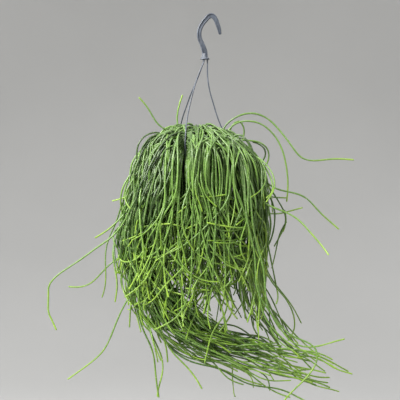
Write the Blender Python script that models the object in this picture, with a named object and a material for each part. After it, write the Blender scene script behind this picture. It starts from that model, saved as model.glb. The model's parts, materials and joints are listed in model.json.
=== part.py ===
"""A rhipsalis in a plastic pot, hanging from a plastic hanger with a ribbed hook and three thin legs.

Units are metres, +Z is up, and the front of the plant faces -Y. The origin is the hook's seat: the
top of its inner side, where it lies on the rail or the nail that carries it. Lengths below are in
millimetres and are turned into metres where a mesh is made.

The stems are laid out in three steps. Each first gets a route: out of its root plug, up, over the
pot's rim and down, either in the curtain round the pot, in one of the long trailing streams, or
alone. Then all routes are bent clear of each other, of the pot and of the hanger. Last, each clump's
stems are fused with the plug that they grow from.
"""

import math

import bmesh
import bpy
import numpy as np

MM = 0.001
CLEARANCE = 0.3  # between pieces that touch on the real object

# Pot: a turned shell with a flanged rim, hung 268 mm below the hook's seat
POT_X = -23.5
RIM_Z = -268.0
POT_HEIGHT = 106.0
RIM_R = 72.0
RIM_THICKNESS = 1.6
LIP_DROP = 8.0
POT_TOP_R = 64.5
POT_BASE_R = 49.0
POT_WALL = 1.5
POT_FLOOR = 2.2
POT_SEGMENTS = 32
BASE_Z = RIM_Z - POT_HEIGHT
DRAIN_HOLES = 6
DRAIN_R = 3.5
DRAIN_RING_R = 33.0

# Soil and the root plugs that stand in it
SOIL_Z = RIM_Z - 11.0
PLUG_R = 9.0
PLUG_DEPTH = 15.0
PLUG_RISE = 4.0
PLUG_SIDES = 8
PLUG_RINGS = ((1, 0.0), (7, 24.0), (13, 46.0))  # how many, and how far from the pot's axis

# Hook: its middle line from the tip to the hub as (x, z, half width), bent in the XZ plane
HOOK_LINE = (
    (16.2, -30.4, 2.6),
    (14.2, -20.0, 3.7),
    (11.4, -11.4, 4.1),
    (8.0, -2.9, 4.4),
    (4.0, 2.9, 4.7),
    (-0.8, 4.9, 4.9),
    (-5.9, 3.0, 4.8),
    (-11.0, -2.5, 4.6),
    (-16.6, -9.5, 4.4),
    (-20.7, -16.5, 4.3),
    (-23.1, -24.7, 4.3),
    (-23.2, -33.3, 4.3),
    (-21.2, -40.9, 4.4),
    (-17.9, -48.5, 4.7),
    (-14.8, -57.0, 5.0),
    (-12.8, -64.6, 5.2),
    (-12.5, -71.0, 5.2),
)
HOOK_FLANGE = 1.5  # thickness of the two flanges, seen from the front
HOOK_DEPTH = 5.6
HOOK_WEB = 2.0
HOOK_STEPS = 21
HUB_X = -12.5
HUB_PROFILE = ((5.4, -66.5), (5.8, -70.5), (6.8, -73.5), (8.6, -75.8), (8.8, -77.6))
HUB_SIDES = 16

# Hanger legs: thin rods from sockets in the hub to holes in the rim, with a collar and a barb
LEG_R = 1.25
LEG_SIDES = 6
LEG_SOCKET_R = 4.7
LEG_HOLE_R = LEG_R + CLEARANCE
LEG_RING_R = 67.6
LEG_COLLAR_R = 2.1
# azimuth of the hole in the rim, and the leg's way there as (x, y, z)
LEGS = {
    "hanger_leg_right": (7.0, ((-8.0, 0.9, -96.0), (-7.0, 1.6, -115.0), (-3.0, 2.6, -138.0),
                               (4.0, 3.8, -162.0), (11.0, 5.0, -185.0), (20.0, 6.2, -207.0),
                               (32.0, 7.3, -232.0), (41.0, 8.0, -252.0))),
    "hanger_leg_left": (127.0, ((-24.0, 12.0, -105.0), (-33.0, 20.0, -126.0), (-41.0, 27.0, -144.0),
                                (-48.0, 34.0, -163.0), (-55.5, 41.0, -184.0), (-60.5, 47.0, -205.0),
                                (-63.5, 51.5, -232.0), (-64.2, 53.6, -252.0))),
    "hanger_leg_front": (-112.0, ((-26.0, -13.0, -111.0), (-33.0, -22.0, -134.0),
                                  (-40.0, -32.0, -162.0), (-45.0, -42.0, -187.0),
                                  (-47.5, -50.0, -208.0), (-49.0, -58.0, -232.0),
                                  (-49.0, -62.0, -252.0))),
}

# Stems
STEM_SEED = 27
STEM_R = 1.95  # at the root, of a three-sided stem about 3 mm thick
STEM_FORK_R = 1.5
STEM_TIP_R = 1.35
STEM_SIDES = 3
STEM_GAP = 0.7
ROOT_SPACING = 2.3
ROOT_Z = SOIL_Z + 0.8  # inside the plug's top, above the soil
GOLDEN_ANGLE = math.pi * (3.0 - math.sqrt(5.0))
LONGEST_STEP = 84.0
SHARPEST_TURN = 0.72  # radians from one point of a stem to the next
CURTAIN_PER_PLUG = (6, 6, 4)  # for the middle plug and the plugs of the two rings
CURTAIN_LAYERS = ((0.85, 1.0), (0.45, 0.95), (0.0, 0.5))  # from the rim outwards
HANG_R = (92.0, 140.0)  # how far from the axis the innermost and the outermost stems hang
LEAN_SHARE = 0.225  # the outer layers' axis lies further and further to the left of the pot's
APEX_RISE = (28.0, 74.0)  # how high above the rim they pass over it
APEX_SHARE = (0.16, 0.36)  # how far out their apex lies, for the middle plug and the outer ring
CROWN_FALL = 0.2  # how much lower the apex is for the outer ring than for the middle plug
DEPTH_SHARE = 0.84  # the mass is a little flatter from front to back
FRONT_SHARE = 0.32  # how far the curtain's stems draw together at the front and at the back
FORKS = 12

# Trailing streams: two edges as (x, z), the outer or lower one and the inner or upper one. A stem
# follows a line between them. Then the depth (y) that a stream gathers to, half its thickness
# there, how many stems it has and which part of its length they reach.
STREAMS = {
    "sweep": dict(
        outer=((-161, -324), (-176, -400), (-170, -466), (-144, -533), (-106, -596), (-40, -638),
               (50, -675), (149, -706), (256, -728)),
        inner=((-88, -333), (-98, -409), (-88, -476), (-42, -534), (18, -582), (82, -602),
               (150, -616), (226, -638), (286, -664)),
        depth=-34, half=34, count=20, reach=(0.62, 1.0), front=0.65),
    "drop": dict(
        outer=((-155, -343), (-166, -438), (-147, -523), (-124, -590), (-117, -647), (-119, -712)),
        inner=((-117, -343), (-124, -447), (-102, -533), (-75, -599), (-48, -651), (-22, -700)),
        depth=-62, half=16, count=5, reach=(0.7, 1.0), front=0.6),
    "trail": dict(
        outer=((112, -343), (110, -419), (101, -485), (114, -533), (147, -586), (198, -636),
               (268, -668)),
        inner=((58, -343), (52, -428), (50, -504), (70, -556), (106, -622), (164, -680),
               (240, -718)),
        depth=38, half=24, count=10, reach=(0.62, 1.0), front=0.45),
}

# Lone stems: where they are seen apart from the mass, as (x, z), with the depth at both ends
LONE_STEMS = (
    (-12, -30, ((20, -210), (35, -193), (60, -183), (83, -183), (107, -193), (130, -214),
                (155, -242), (168, -263), (183, -271), (225, -267), (267, -265))),
    (4, 22, ((26, -216), (41, -198), (69, -189), (96, -191), (121, -212), (136, -248),
             (142, -286), (143, -347))),
    (30, 44, ((40, -206), (55, -188), (66, -210), (60, -229), (45, -248))),
    (20, 60, ((35, -229), (73, -231), (102, -237), (115, -248), (117, -263), (107, -278),
              (84, -294))),
    (-30, -78, ((60, -252), (88, -264), (107, -286), (115, -311), (107, -330), (94, -336))),
    (-10, -46, ((60, -262), (83, -282), (111, -314), (143, -326), (178, -343), (206, -368),
                (238, -394))),
    (50, 84, ((70, -300), (96, -333), (121, -343), (148, -343))),
    (-50, -96, ((73, -320), (121, -358), (149, -375), (178, -404), (206, -430), (212, -438))),
    (70, 92, ((96, -295), (136, -352), (153, -377), (153, -400), (140, -425), (128, -440))),
    (94, 120, ((73, -356), (111, -371), (149, -375), (191, -366))),
    (10, 20, ((-136, -318), (-155, -337), (-193, -343))),
    (-30, -44, ((-150, -350), (-174, -379), (-202, -404), (-216, -411))),
    (-60, -92, ((-152, -370), (-180, -411), (-221, -434), (-259, -457), (-290, -485),
                (-302, -514), (-302, -536), (-292, -556), (-282, -577))),
    (40, 70, ((-146, -380), (-170, -443), (-202, -480), (-227, -504), (-250, -514),
              (-288, -516))),
    (80, 96, ((-100, -380), (-121, -440), (-128, -480), (-155, -518), (-178, -561),
              (-197, -618), (-212, -651), (-240, -675), (-292, -708))),
    (-22, -30, ((-70, -215), (-92, -203), (-117, -176), (-140, -155))),
    (24, 34, ((-56, -225), (-68, -200), (-64, -168), (-52, -143))),
    (-96, -112, ((70, -420), (96, -533), (140, -590), (187, -603), (235, -590))),
    (92, 104, ((90, -400), (115, -495), (149, -552), (172, -590), (174, -613), (160, -630))),
    (-92, -124, ((84, -440), (104, -533), (146, -590), (172, -596), (187, -613), (149, -675),
                 (121, -708))),
)


def blend(pair, share):
    return pair[0] + (pair[1] - pair[0]) * share


def clear_scene():
    for old in list(bpy.data.objects):
        bpy.data.objects.remove(old, do_unlink=True)


def material(name, colour, roughness, metallic=0.0):
    """A Principled material whose colour is given as sRGB values from 0 to 255."""
    linear = [((c / 255 + 0.055) / 1.055) ** 2.4 for c in colour]
    made = bpy.data.materials.new(name)
    made.use_nodes = True
    shader = made.node_tree.nodes["Principled BSDF"]
    shader.inputs["Base Color"].default_value = (*linear, 1.0)
    shader.inputs["Roughness"].default_value = roughness
    shader.inputs["Metallic"].default_value = metallic
    made.diffuse_color = (*linear, 1.0)
    return made


def add_object(name, verts, faces, look):
    """An object from points in millimetres and faces, with its normals made consistent."""
    mesh = bpy.data.meshes.new(name)
    mesh.from_pydata((np.asarray(verts, float) * MM).tolist(), [], faces)
    shape = bmesh.new()
    shape.from_mesh(mesh)
    bmesh.ops.recalc_face_normals(shape, faces=shape.faces)
    shape.to_mesh(mesh)
    shape.free()
    made = bpy.data.objects.new(name, mesh)
    bpy.context.scene.collection.objects.link(made)
    mesh.materials.append(look)
    return made


def combine(target, others, operation, solver="EXACT"):
    """One Boolean of the target with a collection of objects, which are then removed."""
    group = bpy.data.collections.new(target.name + "_operands")
    bpy.context.scene.collection.children.link(group)
    for other in others:
        bpy.context.scene.collection.objects.unlink(other)
        group.objects.link(other)
    boolean = target.modifiers.new("combine", "BOOLEAN")
    boolean.operation = operation
    boolean.solver = solver
    boolean.operand_type = "COLLECTION"
    boolean.collection = group
    evaluated = target.evaluated_get(bpy.context.evaluated_depsgraph_get())
    result = bpy.data.meshes.new_from_object(evaluated)
    target.modifiers.clear()
    target.data = result
    for other in others:
        bpy.data.objects.remove(other, do_unlink=True)
    bpy.data.collections.remove(group)
    return target


def shade(made, angle=40.0):
    made.data.shade_smooth()
    made.data.set_sharp_from_angle(angle=math.radians(angle))


def turned(name, profile, centre, sides, look, closed=False):
    """A solid of revolution about a vertical axis.

    The profile is a list of (radius, z). An open one runs from end to end of the solid's side and
    gets flat ends, a closed one is a ring's section.
    """
    profile = np.asarray(profile, float)
    turn = np.linspace(0.0, 2 * math.pi, sides, endpoint=False)
    ring = np.stack([np.cos(turn), np.sin(turn)], axis=1)
    verts = np.concatenate([
        np.column_stack([centre[0] + r * ring[:, 0], centre[1] + r * ring[:, 1], np.full(sides, z)])
        for r, z in profile])
    faces = []
    rows = len(profile)
    for row in range(rows if closed else rows - 1):
        low, high = row * sides, (row + 1) % rows * sides
        faces += [(low + i, low + (i + 1) % sides, high + (i + 1) % sides, high + i)
                  for i in range(sides)]
    if not closed:
        faces += [tuple(range(sides)), tuple(range((rows - 1) * sides, rows * sides))]
    return add_object(name, verts, faces, look)


def catmull_rom(points, per_span=10):
    """A smooth curve through the points, with even speed whatever their distances."""
    p = np.asarray(points, float)
    p = np.vstack([2 * p[0] - p[1], p, 2 * p[-1] - p[-2]])
    knots = np.concatenate([[0.0], np.cumsum(np.linalg.norm(np.diff(p, axis=0), axis=1) ** 0.5)])
    out = []
    for i in range(1, len(p) - 2):
        t = np.linspace(knots[i], knots[i + 1], per_span, endpoint=False)[:, None]
        k0, k1, k2, k3 = knots[i - 1:i + 3]
        a = ((k1 - t) * p[i - 1] + (t - k0) * p[i]) / (k1 - k0)
        b = ((k2 - t) * p[i] + (t - k1) * p[i + 1]) / (k2 - k1)
        c = ((k3 - t) * p[i + 1] + (t - k2) * p[i + 2]) / (k3 - k2)
        ab = ((k2 - t) * a + (t - k0) * b) / (k2 - k0)
        bc = ((k3 - t) * b + (t - k1) * c) / (k3 - k1)
        out.append(((k2 - t) * ab + (t - k1) * bc) / (k2 - k1))
    out.append(p[-2:-1])
    return np.concatenate(out)


def along(path):
    """The distance along a path at each of its points."""
    return np.concatenate([[0.0], np.cumsum(np.linalg.norm(np.diff(path, axis=0), axis=1))])


def at(path, distance):
    """The points of a path at the given distances along it."""
    run = along(path)
    return np.stack([np.interp(distance, run, path[:, axis]) for axis in range(3)], axis=-1)


def thin_out(path, longest=LONGEST_STEP, turn=SHARPEST_TURN):
    """The same path with fewer points, which lie closer together where it bends."""
    path = at(path, np.linspace(0.0, along(path)[-1], max(8, int(along(path)[-1] / 6.0))))
    way = np.diff(path, axis=0)
    length = np.linalg.norm(way, axis=1)
    way /= length[:, None]
    bend = np.arccos(np.clip((way[1:] * way[:-1]).sum(axis=1), -1.0, 1.0))
    bend = np.concatenate([[0.0], bend]) / turn
    effort = np.concatenate([[0.0], np.cumsum(length / longest + bend)])
    count = max(3, int(round(effort[-1])) + 1)
    return at(path, np.interp(np.linspace(0.0, effort[-1], count), effort, along(path)))


def tube(points, radii, sides, pointed=True, roll=0.0):
    """Points and faces of a closed tube along a path, with a flat start and a pointed or flat end."""
    points = np.asarray(points, float)
    radii = np.broadcast_to(radii, len(points))
    way = np.gradient(points, axis=0)
    way /= np.linalg.norm(way, axis=1)[:, None]
    side = np.cross(way[0], (0.3, 1.0, 0.2))
    turn = np.linspace(0.0, 2 * math.pi, sides, endpoint=False) + roll
    verts = []
    last = len(points) - 1 if pointed else len(points)
    for i in range(last):
        side = side - way[i] * (side @ way[i])
        side /= np.linalg.norm(side)
        across = np.cross(way[i], side)
        verts.append(points[i] + radii[i] * (np.cos(turn)[:, None] * side
                                             + np.sin(turn)[:, None] * across))
    verts = np.concatenate(verts)
    faces = [tuple(range(sides))]
    for row in range(last - 1):
        low, high = row * sides, (row + 1) * sides
        faces += [(low + i, low + (i + 1) % sides, high + (i + 1) % sides, high + i)
                  for i in range(sides)]
    low = (last - 1) * sides
    if pointed:
        verts = np.vstack([verts, points[-1]])
        faces += [(low + i, low + (i + 1) % sides, len(verts) - 1) for i in range(sides)]
    else:
        faces.append(tuple(range(low, low + sides)))
    return verts, faces


def build_hook(look):
    """The ribbed hook, whose section is a web between two flanges, fused with its flared hub."""
    line = np.asarray(HOOK_LINE)
    curve = catmull_rom(line, 8)
    pace = np.concatenate([[0.0], np.cumsum(np.linalg.norm(np.diff(curve[:, :2], axis=0), axis=1))])
    even = np.linspace(0.0, pace[-1], HOOK_STEPS)
    x, z, half = (np.interp(even, pace, curve[:, axis]) for axis in range(3))
    way = np.stack([np.gradient(x), np.gradient(z)], axis=1)
    way /= np.linalg.norm(way, axis=1)[:, None]
    depth, web = HOOK_DEPTH / 2, HOOK_WEB / 2
    verts = []
    for i in range(HOOK_STEPS):
        grow = min(1.0, 0.72 + 0.1 * i)
        outer, inner = half[i], half[i] - HOOK_FLANGE
        section = [(outer, depth), (inner, depth), (inner, web), (-inner, web), (-inner, depth),
                   (-outer, depth), (-outer, -depth), (-inner, -depth), (-inner, -web),
                   (inner, -web), (inner, -depth), (outer, -depth)]
        normal = (-way[i][1], way[i][0])
        verts += [(x[i] + a * normal[0], b * grow, z[i] + a * normal[1]) for a, b in section]
    size = len(section)
    faces = [tuple(range(size)), tuple(range((HOOK_STEPS - 1) * size, HOOK_STEPS * size))]
    for row in range(HOOK_STEPS - 1):
        low = row * size
        faces += [(low + i, low + (i + 1) % size, low + size + (i + 1) % size, low + size + i)
                  for i in range(size)]
    hook = add_object("hook", verts, faces, look)
    hub = turned("hub", HUB_PROFILE, (HUB_X, 0.0), HUB_SIDES, look)
    combine(hook, [hub], "UNION")
    sockets = [turned("socket", ((LEG_HOLE_R, HUB_PROFILE[-1][1] + 5.6), (LEG_HOLE_R, -80.0)),
                      leg_socket(azimuth), 10, look) for azimuth, _ in LEGS.values()]
    combine(hook, sockets, "DIFFERENCE")
    shade(hook)
    return hook


def leg_socket(azimuth):
    turn = math.radians(azimuth)
    return HUB_X + LEG_SOCKET_R * math.cos(turn), LEG_SOCKET_R * math.sin(turn)


def leg_hole(azimuth):
    turn = math.radians(azimuth)
    return POT_X + LEG_RING_R * math.cos(turn), LEG_RING_R * math.sin(turn)


def leg_path(azimuth, way):
    """A leg's middle line, from its socket in the hub to just above its hole in the rim."""
    start, end = leg_socket(azimuth), leg_hole(azimuth)
    below = HUB_PROFILE[-1][1] - 2.0
    curve = catmull_rom([(*start, below + 3.0), (*start, below - 2.0), *way, (*end, RIM_Z + 8.0),
                         (*end, RIM_Z + 4.0)], 8)
    curve = at(curve, np.linspace(0.0, along(curve)[-1], 15))
    return np.vstack([(*start, HUB_PROFILE[-1][1] + 5.2), (*start, below), curve[1:]])


def build_leg(name, azimuth, way, look):
    """A leg with a collar above the rim's flange and a barb under it."""
    path = leg_path(azimuth, way)
    end = leg_hole(azimuth)
    under = RIM_Z - RIM_THICKNESS - CLEARANCE
    foot = ((RIM_Z + 2.6, LEG_R), (RIM_Z + 2.2, LEG_COLLAR_R), (RIM_Z + CLEARANCE, LEG_COLLAR_R),
            (RIM_Z + CLEARANCE - 0.05, LEG_R), (under + 0.05, LEG_R), (under, 1.95),
            (under - 1.6, 1.95), (under - 5.0, 0.8))
    points = np.vstack([path, [(*end, z) for z, _ in foot]])
    radii = np.concatenate([np.full(len(path), LEG_R), [r for _, r in foot]])
    leg = add_object(name, *tube(points, radii, LEG_SIDES, pointed=False), look)
    shade(leg)
    return leg


def wall_r(z):
    """The outer radius of the pot's wall at a height."""
    return POT_BASE_R + (POT_TOP_R - POT_BASE_R) * (z - BASE_Z) / (RIM_Z - BASE_Z)


def build_pot(look):
    """The pot: a tapered shell whose rim turns out into a flange and down into a lip."""
    inner_top = POT_TOP_R - POT_WALL
    floor_z = BASE_Z + POT_FLOOR
    profile = (
        (0.0, BASE_Z), (POT_BASE_R - 1.5, BASE_Z), (POT_BASE_R, BASE_Z + 1.5),
        (wall_r(RIM_Z - RIM_THICKNESS), RIM_Z - RIM_THICKNESS),
        (RIM_R - RIM_THICKNESS, RIM_Z - RIM_THICKNESS),
        (RIM_R - RIM_THICKNESS, RIM_Z - LIP_DROP), (RIM_R, RIM_Z - LIP_DROP), (RIM_R, RIM_Z - 0.8),
        (RIM_R - 0.8, RIM_Z), (inner_top + 0.8, RIM_Z), (inner_top, RIM_Z - 0.8),
        (wall_r(floor_z) - POT_WALL, floor_z), (0.0, floor_z))
    sides = POT_SEGMENTS
    turn = np.linspace(0.0, 2 * math.pi, sides, endpoint=False)
    verts = [(POT_X, 0.0, BASE_Z)]
    for r, z in profile[1:-1]:
        verts += [(POT_X + r * math.cos(t), r * math.sin(t), z) for t in turn]
    verts.append((POT_X, 0.0, floor_z))
    rows, end = len(profile) - 2, len(verts) - 1
    faces = [(0, 1 + i, 1 + (i + 1) % sides) for i in range(sides)]
    for row in range(rows - 1):
        low, high = 1 + row * sides, 1 + (row + 1) * sides
        faces += [(low + i, low + (i + 1) % sides, high + (i + 1) % sides, high + i)
                  for i in range(sides)]
    low = 1 + (rows - 1) * sides
    faces += [(low + i, low + (i + 1) % sides, end) for i in range(sides)]
    pot = add_object("pot", verts, faces, look)
    cutters = [turned("leg_hole", ((LEG_HOLE_R, RIM_Z - 4.0), (LEG_HOLE_R, RIM_Z + 2.0)),
                      leg_hole(azimuth), 10, look) for azimuth, _ in LEGS.values()]
    for i in range(DRAIN_HOLES):
        a = 2 * math.pi * (i + 0.5) / DRAIN_HOLES
        place = (POT_X + DRAIN_RING_R * math.cos(a), DRAIN_RING_R * math.sin(a))
        cutters.append(turned("drain", ((DRAIN_R, BASE_Z - 2.0), (DRAIN_R, floor_z + 2.0)),
                              place, 8, look))
    combine(pot, cutters, "DIFFERENCE")
    shade(pot)
    return pot


def plug_places():
    """The root plugs' places on the soil as (x, y), in rings that are turned against each other."""
    rng = np.random.default_rng(STEM_SEED)
    places = []
    for count, radius in PLUG_RINGS:
        start = rng.uniform(0.0, 2 * math.pi)
        for i in range(count):
            a = start + 2 * math.pi * (i + rng.uniform(-0.03, 0.03)) / count
            places.append((POT_X + radius * math.cos(a), radius * math.sin(a)))
    return np.array(places)


def build_soil(places, look):
    """The soil: a tapered block with a slightly uneven top and a plain hole for each root plug."""
    rng = np.random.default_rng(STEM_SEED + 1)
    sides = POT_SEGMENTS
    turn = np.linspace(0.0, 2 * math.pi, sides, endpoint=False)
    top_r = wall_r(SOIL_Z) - POT_WALL - CLEARANCE - 0.1
    low_z = BASE_Z + POT_FLOOR + CLEARANCE
    low_r = wall_r(low_z) - POT_WALL - CLEARANCE - 0.1
    rows = ((low_r, low_z, 0.0), (top_r, SOIL_Z - 2.5, 0.4), (top_r * 0.6, SOIL_Z - 1.2, 0.9))
    verts = []
    for r, z, rough in rows:
        verts += [(POT_X + r * math.cos(t), r * math.sin(t), z + rough * rng.uniform(-1, 1))
                  for t in turn]
    verts.append((POT_X, 0.0, SOIL_Z - 0.6))
    faces = [tuple(range(sides))]
    for row in range(len(rows) - 1):
        low = row * sides
        faces += [(low + i, low + (i + 1) % sides, low + sides + (i + 1) % sides, low + sides + i)
                  for i in range(sides)]
    low = (len(rows) - 1) * sides
    faces += [(low + i, low + (i + 1) % sides, len(verts) - 1) for i in range(sides)]
    soil = add_object("soil", verts, faces, look)
    depth = PLUG_DEPTH + CLEARANCE
    holes = [turned("plug_hole", ((PLUG_R + CLEARANCE, SOIL_Z - depth), (PLUG_R + CLEARANCE,
                    SOIL_Z + 6.0)), place, PLUG_SIDES, look) for place in places]
    combine(soil, holes, "DIFFERENCE")
    shade(soil)
    return soil


def wander(path, rng, size):
    """Lets a path stray from side to side in two slow waves for each axis, more towards its tip."""
    run = along(path)
    share = (run / run[-1])[:, None]
    stray = np.zeros_like(path)
    for wave, weight in ((rng.uniform(170, 300), 1.0), (rng.uniform(70, 130), 0.35)):
        phase = rng.uniform(0, 2 * math.pi, 3)
        stray += weight * np.sin(2 * math.pi * run[:, None] / wave + phase)
    return path + stray * np.array([1.0, 1.0, 0.45]) * size * share ** 1.3


def first_part(root, hang, rise, rng, apex_share=APEX_SHARE[1]):
    """A stem's way out of its plug and over the rim to the place where it starts to hang down.

    The apex lies a third of the way out or nearer, at a height above the rim. The next point is
    still above the rim, so that only then does the stem turn down.
    """
    root, hang = np.asarray(root, float), np.asarray(hang, float)
    apex_z = RIM_Z + rise
    lean = (hang[:2] - root[:2]) * 0.05
    out = [np.append(root[:2], ROOT_Z), np.append(root[:2] + lean, SOIL_Z + 12.0)]
    share = apex_share + rng.uniform(-0.06, 0.06)
    out.append(np.append(root[:2] + share * 0.5 * (hang[:2] - root[:2]),
                         blend((SOIL_Z, apex_z), 0.78)))
    out.append(np.append(root[:2] + share * (hang[:2] - root[:2]), apex_z))
    out.append(np.append(root[:2] + (share * 0.45 + 0.55) * (hang[:2] - root[:2]),
                         blend((apex_z, hang[2]), 0.08 + 0.28 * min(1.0, rise / 60.0))))
    out.append(hang)
    return out


def curtain_stem(root, azimuth, layer, rng):
    """A stem of the curtain that hangs round the pot. The layer is 0 at the rim and 1 outermost."""
    outwards = math.hypot(root[0] - POT_X, root[1]) / PLUG_RINGS[-1][1]
    rise = max(APEX_RISE[0], blend(APEX_RISE, layer ** 0.9) * (1.0 - CROWN_FALL * outwards))
    rise += rng.uniform(-3, 3)
    hang_r = blend(HANG_R, layer) + rng.uniform(-3, 5)
    hang_z = blend((-318.0, -334.0), layer)
    tip_z = rng.uniform(-575, -440) if rng.random() < 0.8 else rng.uniform(-440, -350)
    turn = azimuth + rng.uniform(-0.12, 0.12)
    points = first_part(root, around(hang_r, turn, hang_z), rise, rng,
                        blend(APEX_SHARE, min(1.0, outwards)))
    drift = rng.uniform(-0.16, 0.16)
    z = hang_z - 52.0
    while z > tip_z + 20:
        turn += drift * rng.uniform(0.2, 1.0)
        bow = 8.0 * math.sin(math.pi * min(1.0, (hang_z - z) / 190.0))
        points.append(around(hang_r + bow, turn, z))
        z -= 55.0
    curl = rng.uniform(-0.28, 0.28)
    points.append(around(hang_r + rng.uniform(-6, 14), turn + curl, tip_z))
    return wander(catmull_rom(points), rng, 7.0)


def around(r, turn, z):
    """A point of the mass, which leans to the left and is flatter from front to back."""
    lean = LEAN_SHARE * max(0.0, r - HANG_R[0])
    return np.array([POT_X - lean + r * math.cos(turn), r * math.sin(turn) * DEPTH_SHARE, z])


def stream_stem(root_of, stream, across, rng):
    """A stem of a trailing stream. Across is 0 on its outer edge and 1 on its inner edge.

    It starts to hang somewhere round the pot, at the front or at the back, and gathers to the
    stream's own depth on its way down. Returns the plug that it grows from, and its path.
    """
    outer, inner = np.asarray(stream["outer"], float), np.asarray(stream["inner"], float)
    line = outer + (inner - outer) * across
    reach = blend(stream["reach"], rng.random())
    line = catmull_rom(np.column_stack([line, np.zeros(len(line))]), 6)
    line = at(line, np.linspace(0.0, along(line)[-1] * reach, len(outer)))
    sideways = line[0][0] - POT_X
    hang_r = rng.uniform(0.9, 1.0) * HANG_R[1]
    face = -1.0 if rng.random() < stream["front"] else 1.0
    deep = face * DEPTH_SHARE * math.sqrt(max(hang_r ** 2 - sideways ** 2, 300.0))
    gathered = stream["depth"] + stream["half"] * rng.uniform(-1, 1)
    share = np.clip(np.linspace(0.0, 1.6, len(line)), 0.0, 1.0)
    share = share * share * (3 - 2 * share)
    depth = deep + (gathered - deep) * share
    points = np.column_stack([line[:, 0], depth, line[:, 1]])
    plug, root = root_of(math.atan2(depth[0], sideways), rng.random() < 0.5)
    rise = rng.uniform(30, 58)
    path = catmull_rom([*first_part(root, points[0], rise, rng), *points[1:]])
    return plug, wander(path, rng, 8.0)


def lone_stem(root_of, near, far, line, rng):
    """A stem seen apart from the mass: out of its plug, up to where it is first seen, then on."""
    line = np.asarray(line, float)
    depth = np.linspace(near, far, len(line))
    points = np.column_stack([line[:, 0], depth, line[:, 1]])
    plug, root = root_of(math.atan2(depth[0], line[0][0] - POT_X), True)
    if line[0][1] > RIM_Z + 25.0:
        start = [(*root, ROOT_Z), (*root, SOIL_Z + 14.0),
                 (*(0.55 * root + 0.45 * points[0][:2]), blend((SOIL_Z, line[0][1]), 0.6))]
        path = catmull_rom([*start, *points])
    else:
        first = points[0] if line[0][1] > RIM_Z - 10.0 else None
        if first is None:
            path = catmull_rom([*first_part(root, points[0], rng.uniform(35, 60), rng),
                                *points[1:]])
        else:
            start = [(*root, ROOT_Z), (*root, SOIL_Z + 14.0),
                     (*(0.5 * root + 0.5 * first[:2]), RIM_Z + 26.0)]
            path = catmull_rom([*start, *points])
    return plug, wander(path, rng, 1.5)


def lay_out(places):
    """All stems before they are bent clear, as a list of dicts with their plug and their points."""
    rng = np.random.default_rng(STEM_SEED + 2)
    load = np.zeros(len(places))
    bearing = np.arctan2(places[:, 1], places[:, 0] - POT_X)
    outermost = len(places) - PLUG_RINGS[-1][0]

    def root_on(plug):
        """The next free place on a plug. They lie like the seeds of a sunflower, a stem apart."""
        turn = GOLDEN_ANGLE * load[plug] + plug
        out = min(ROOT_SPACING * math.sqrt(load[plug] + 0.5), PLUG_R - STEM_R - 1.0)
        load[plug] += 1
        return places[plug] + out * np.array([math.cos(turn), math.sin(turn)])

    def root_of(azimuth, outer):
        """A place on the least used plug towards an azimuth, on the outer ring or inside it."""
        apart = np.abs((bearing - azimuth + math.pi) % (2 * math.pi) - math.pi)
        ring = np.arange(len(places)) >= outermost
        cost = apart + 0.11 * load + np.where(ring == outer, 0.0, 9.0)
        plug = int(np.argmin(cost))
        return plug, root_on(plug)

    stems = []

    def keep(plug, path, parent=None, joint=None):
        points = thin_out(path)
        stems.append(dict(plug=plug, points=points, parent=parent, joint=joint))

    for near, far, line in LONE_STEMS:
        keep(*lone_stem(root_of, near, far, line, rng))
    for stream in STREAMS.values():
        for i in range(stream["count"]):
            across = (i + rng.uniform(0.2, 0.8)) / stream["count"]
            keep(*stream_stem(root_of, stream, across, rng))
    plug = 0
    for (count, radius), per_plug, layers in zip(PLUG_RINGS, CURTAIN_PER_PLUG, CURTAIN_LAYERS):
        spread = 2 * math.pi / count
        for _ in range(count):
            for j in range(per_plug):
                azimuth = bearing[plug] + spread * ((j + 0.5) / per_plug - 0.5)
                azimuth += FRONT_SHARE * math.sin(2 * azimuth)
                layer = blend(layers, rng.random())
                keep(plug, curtain_stem(root_on(plug), azimuth, layer, rng))
            plug += 1
    for parent in rng.choice(len(LONE_STEMS) + 30, FORKS, replace=False):
        fork(stems, int(parent) + 8, rng)
    return stems


def fork(stems, parent, rng):
    """A side stem, which leaves its parent about half way along and ends a little before it."""
    points = stems[parent]["points"]
    joint = int(len(points) * rng.uniform(0.5, 0.68))
    rest = points[joint:]
    share = np.linspace(0.0, 1.0, len(rest))[:, None]
    aside = rng.normal(size=3) * np.array([1.0, 0.8, 0.4])
    aside *= rng.uniform(26, 44) / np.linalg.norm(aside)
    branch = rest + aside * share ** 0.8
    branch = branch[:max(3, int(len(branch) * rng.uniform(0.6, 0.95)))]
    stems.append(dict(plug=stems[parent]["plug"], points=branch, parent=parent, joint=joint))


def nearest(a0, a1, b0, b1):
    """How far along two segments, from 0 to 1, their points nearest to each other lie."""
    u, v, w = a1 - a0, b1 - b0, a0 - b0
    uu, uv, vv = (u * u).sum(1), (u * v).sum(1), (v * v).sum(1)
    uw, vw = (u * w).sum(1), (v * w).sum(1)
    s = np.clip((uv * vw - vv * uw) / np.maximum(uu * vv - uv * uv, 1e-9), 0.0, 1.0)
    t = np.clip((uv * s + vw) / np.maximum(vv, 1e-9), 0.0, 1.0)
    s = np.clip((uv * t - uw) / np.maximum(uu, 1e-9), 0.0, 1.0)
    return s, t


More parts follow.
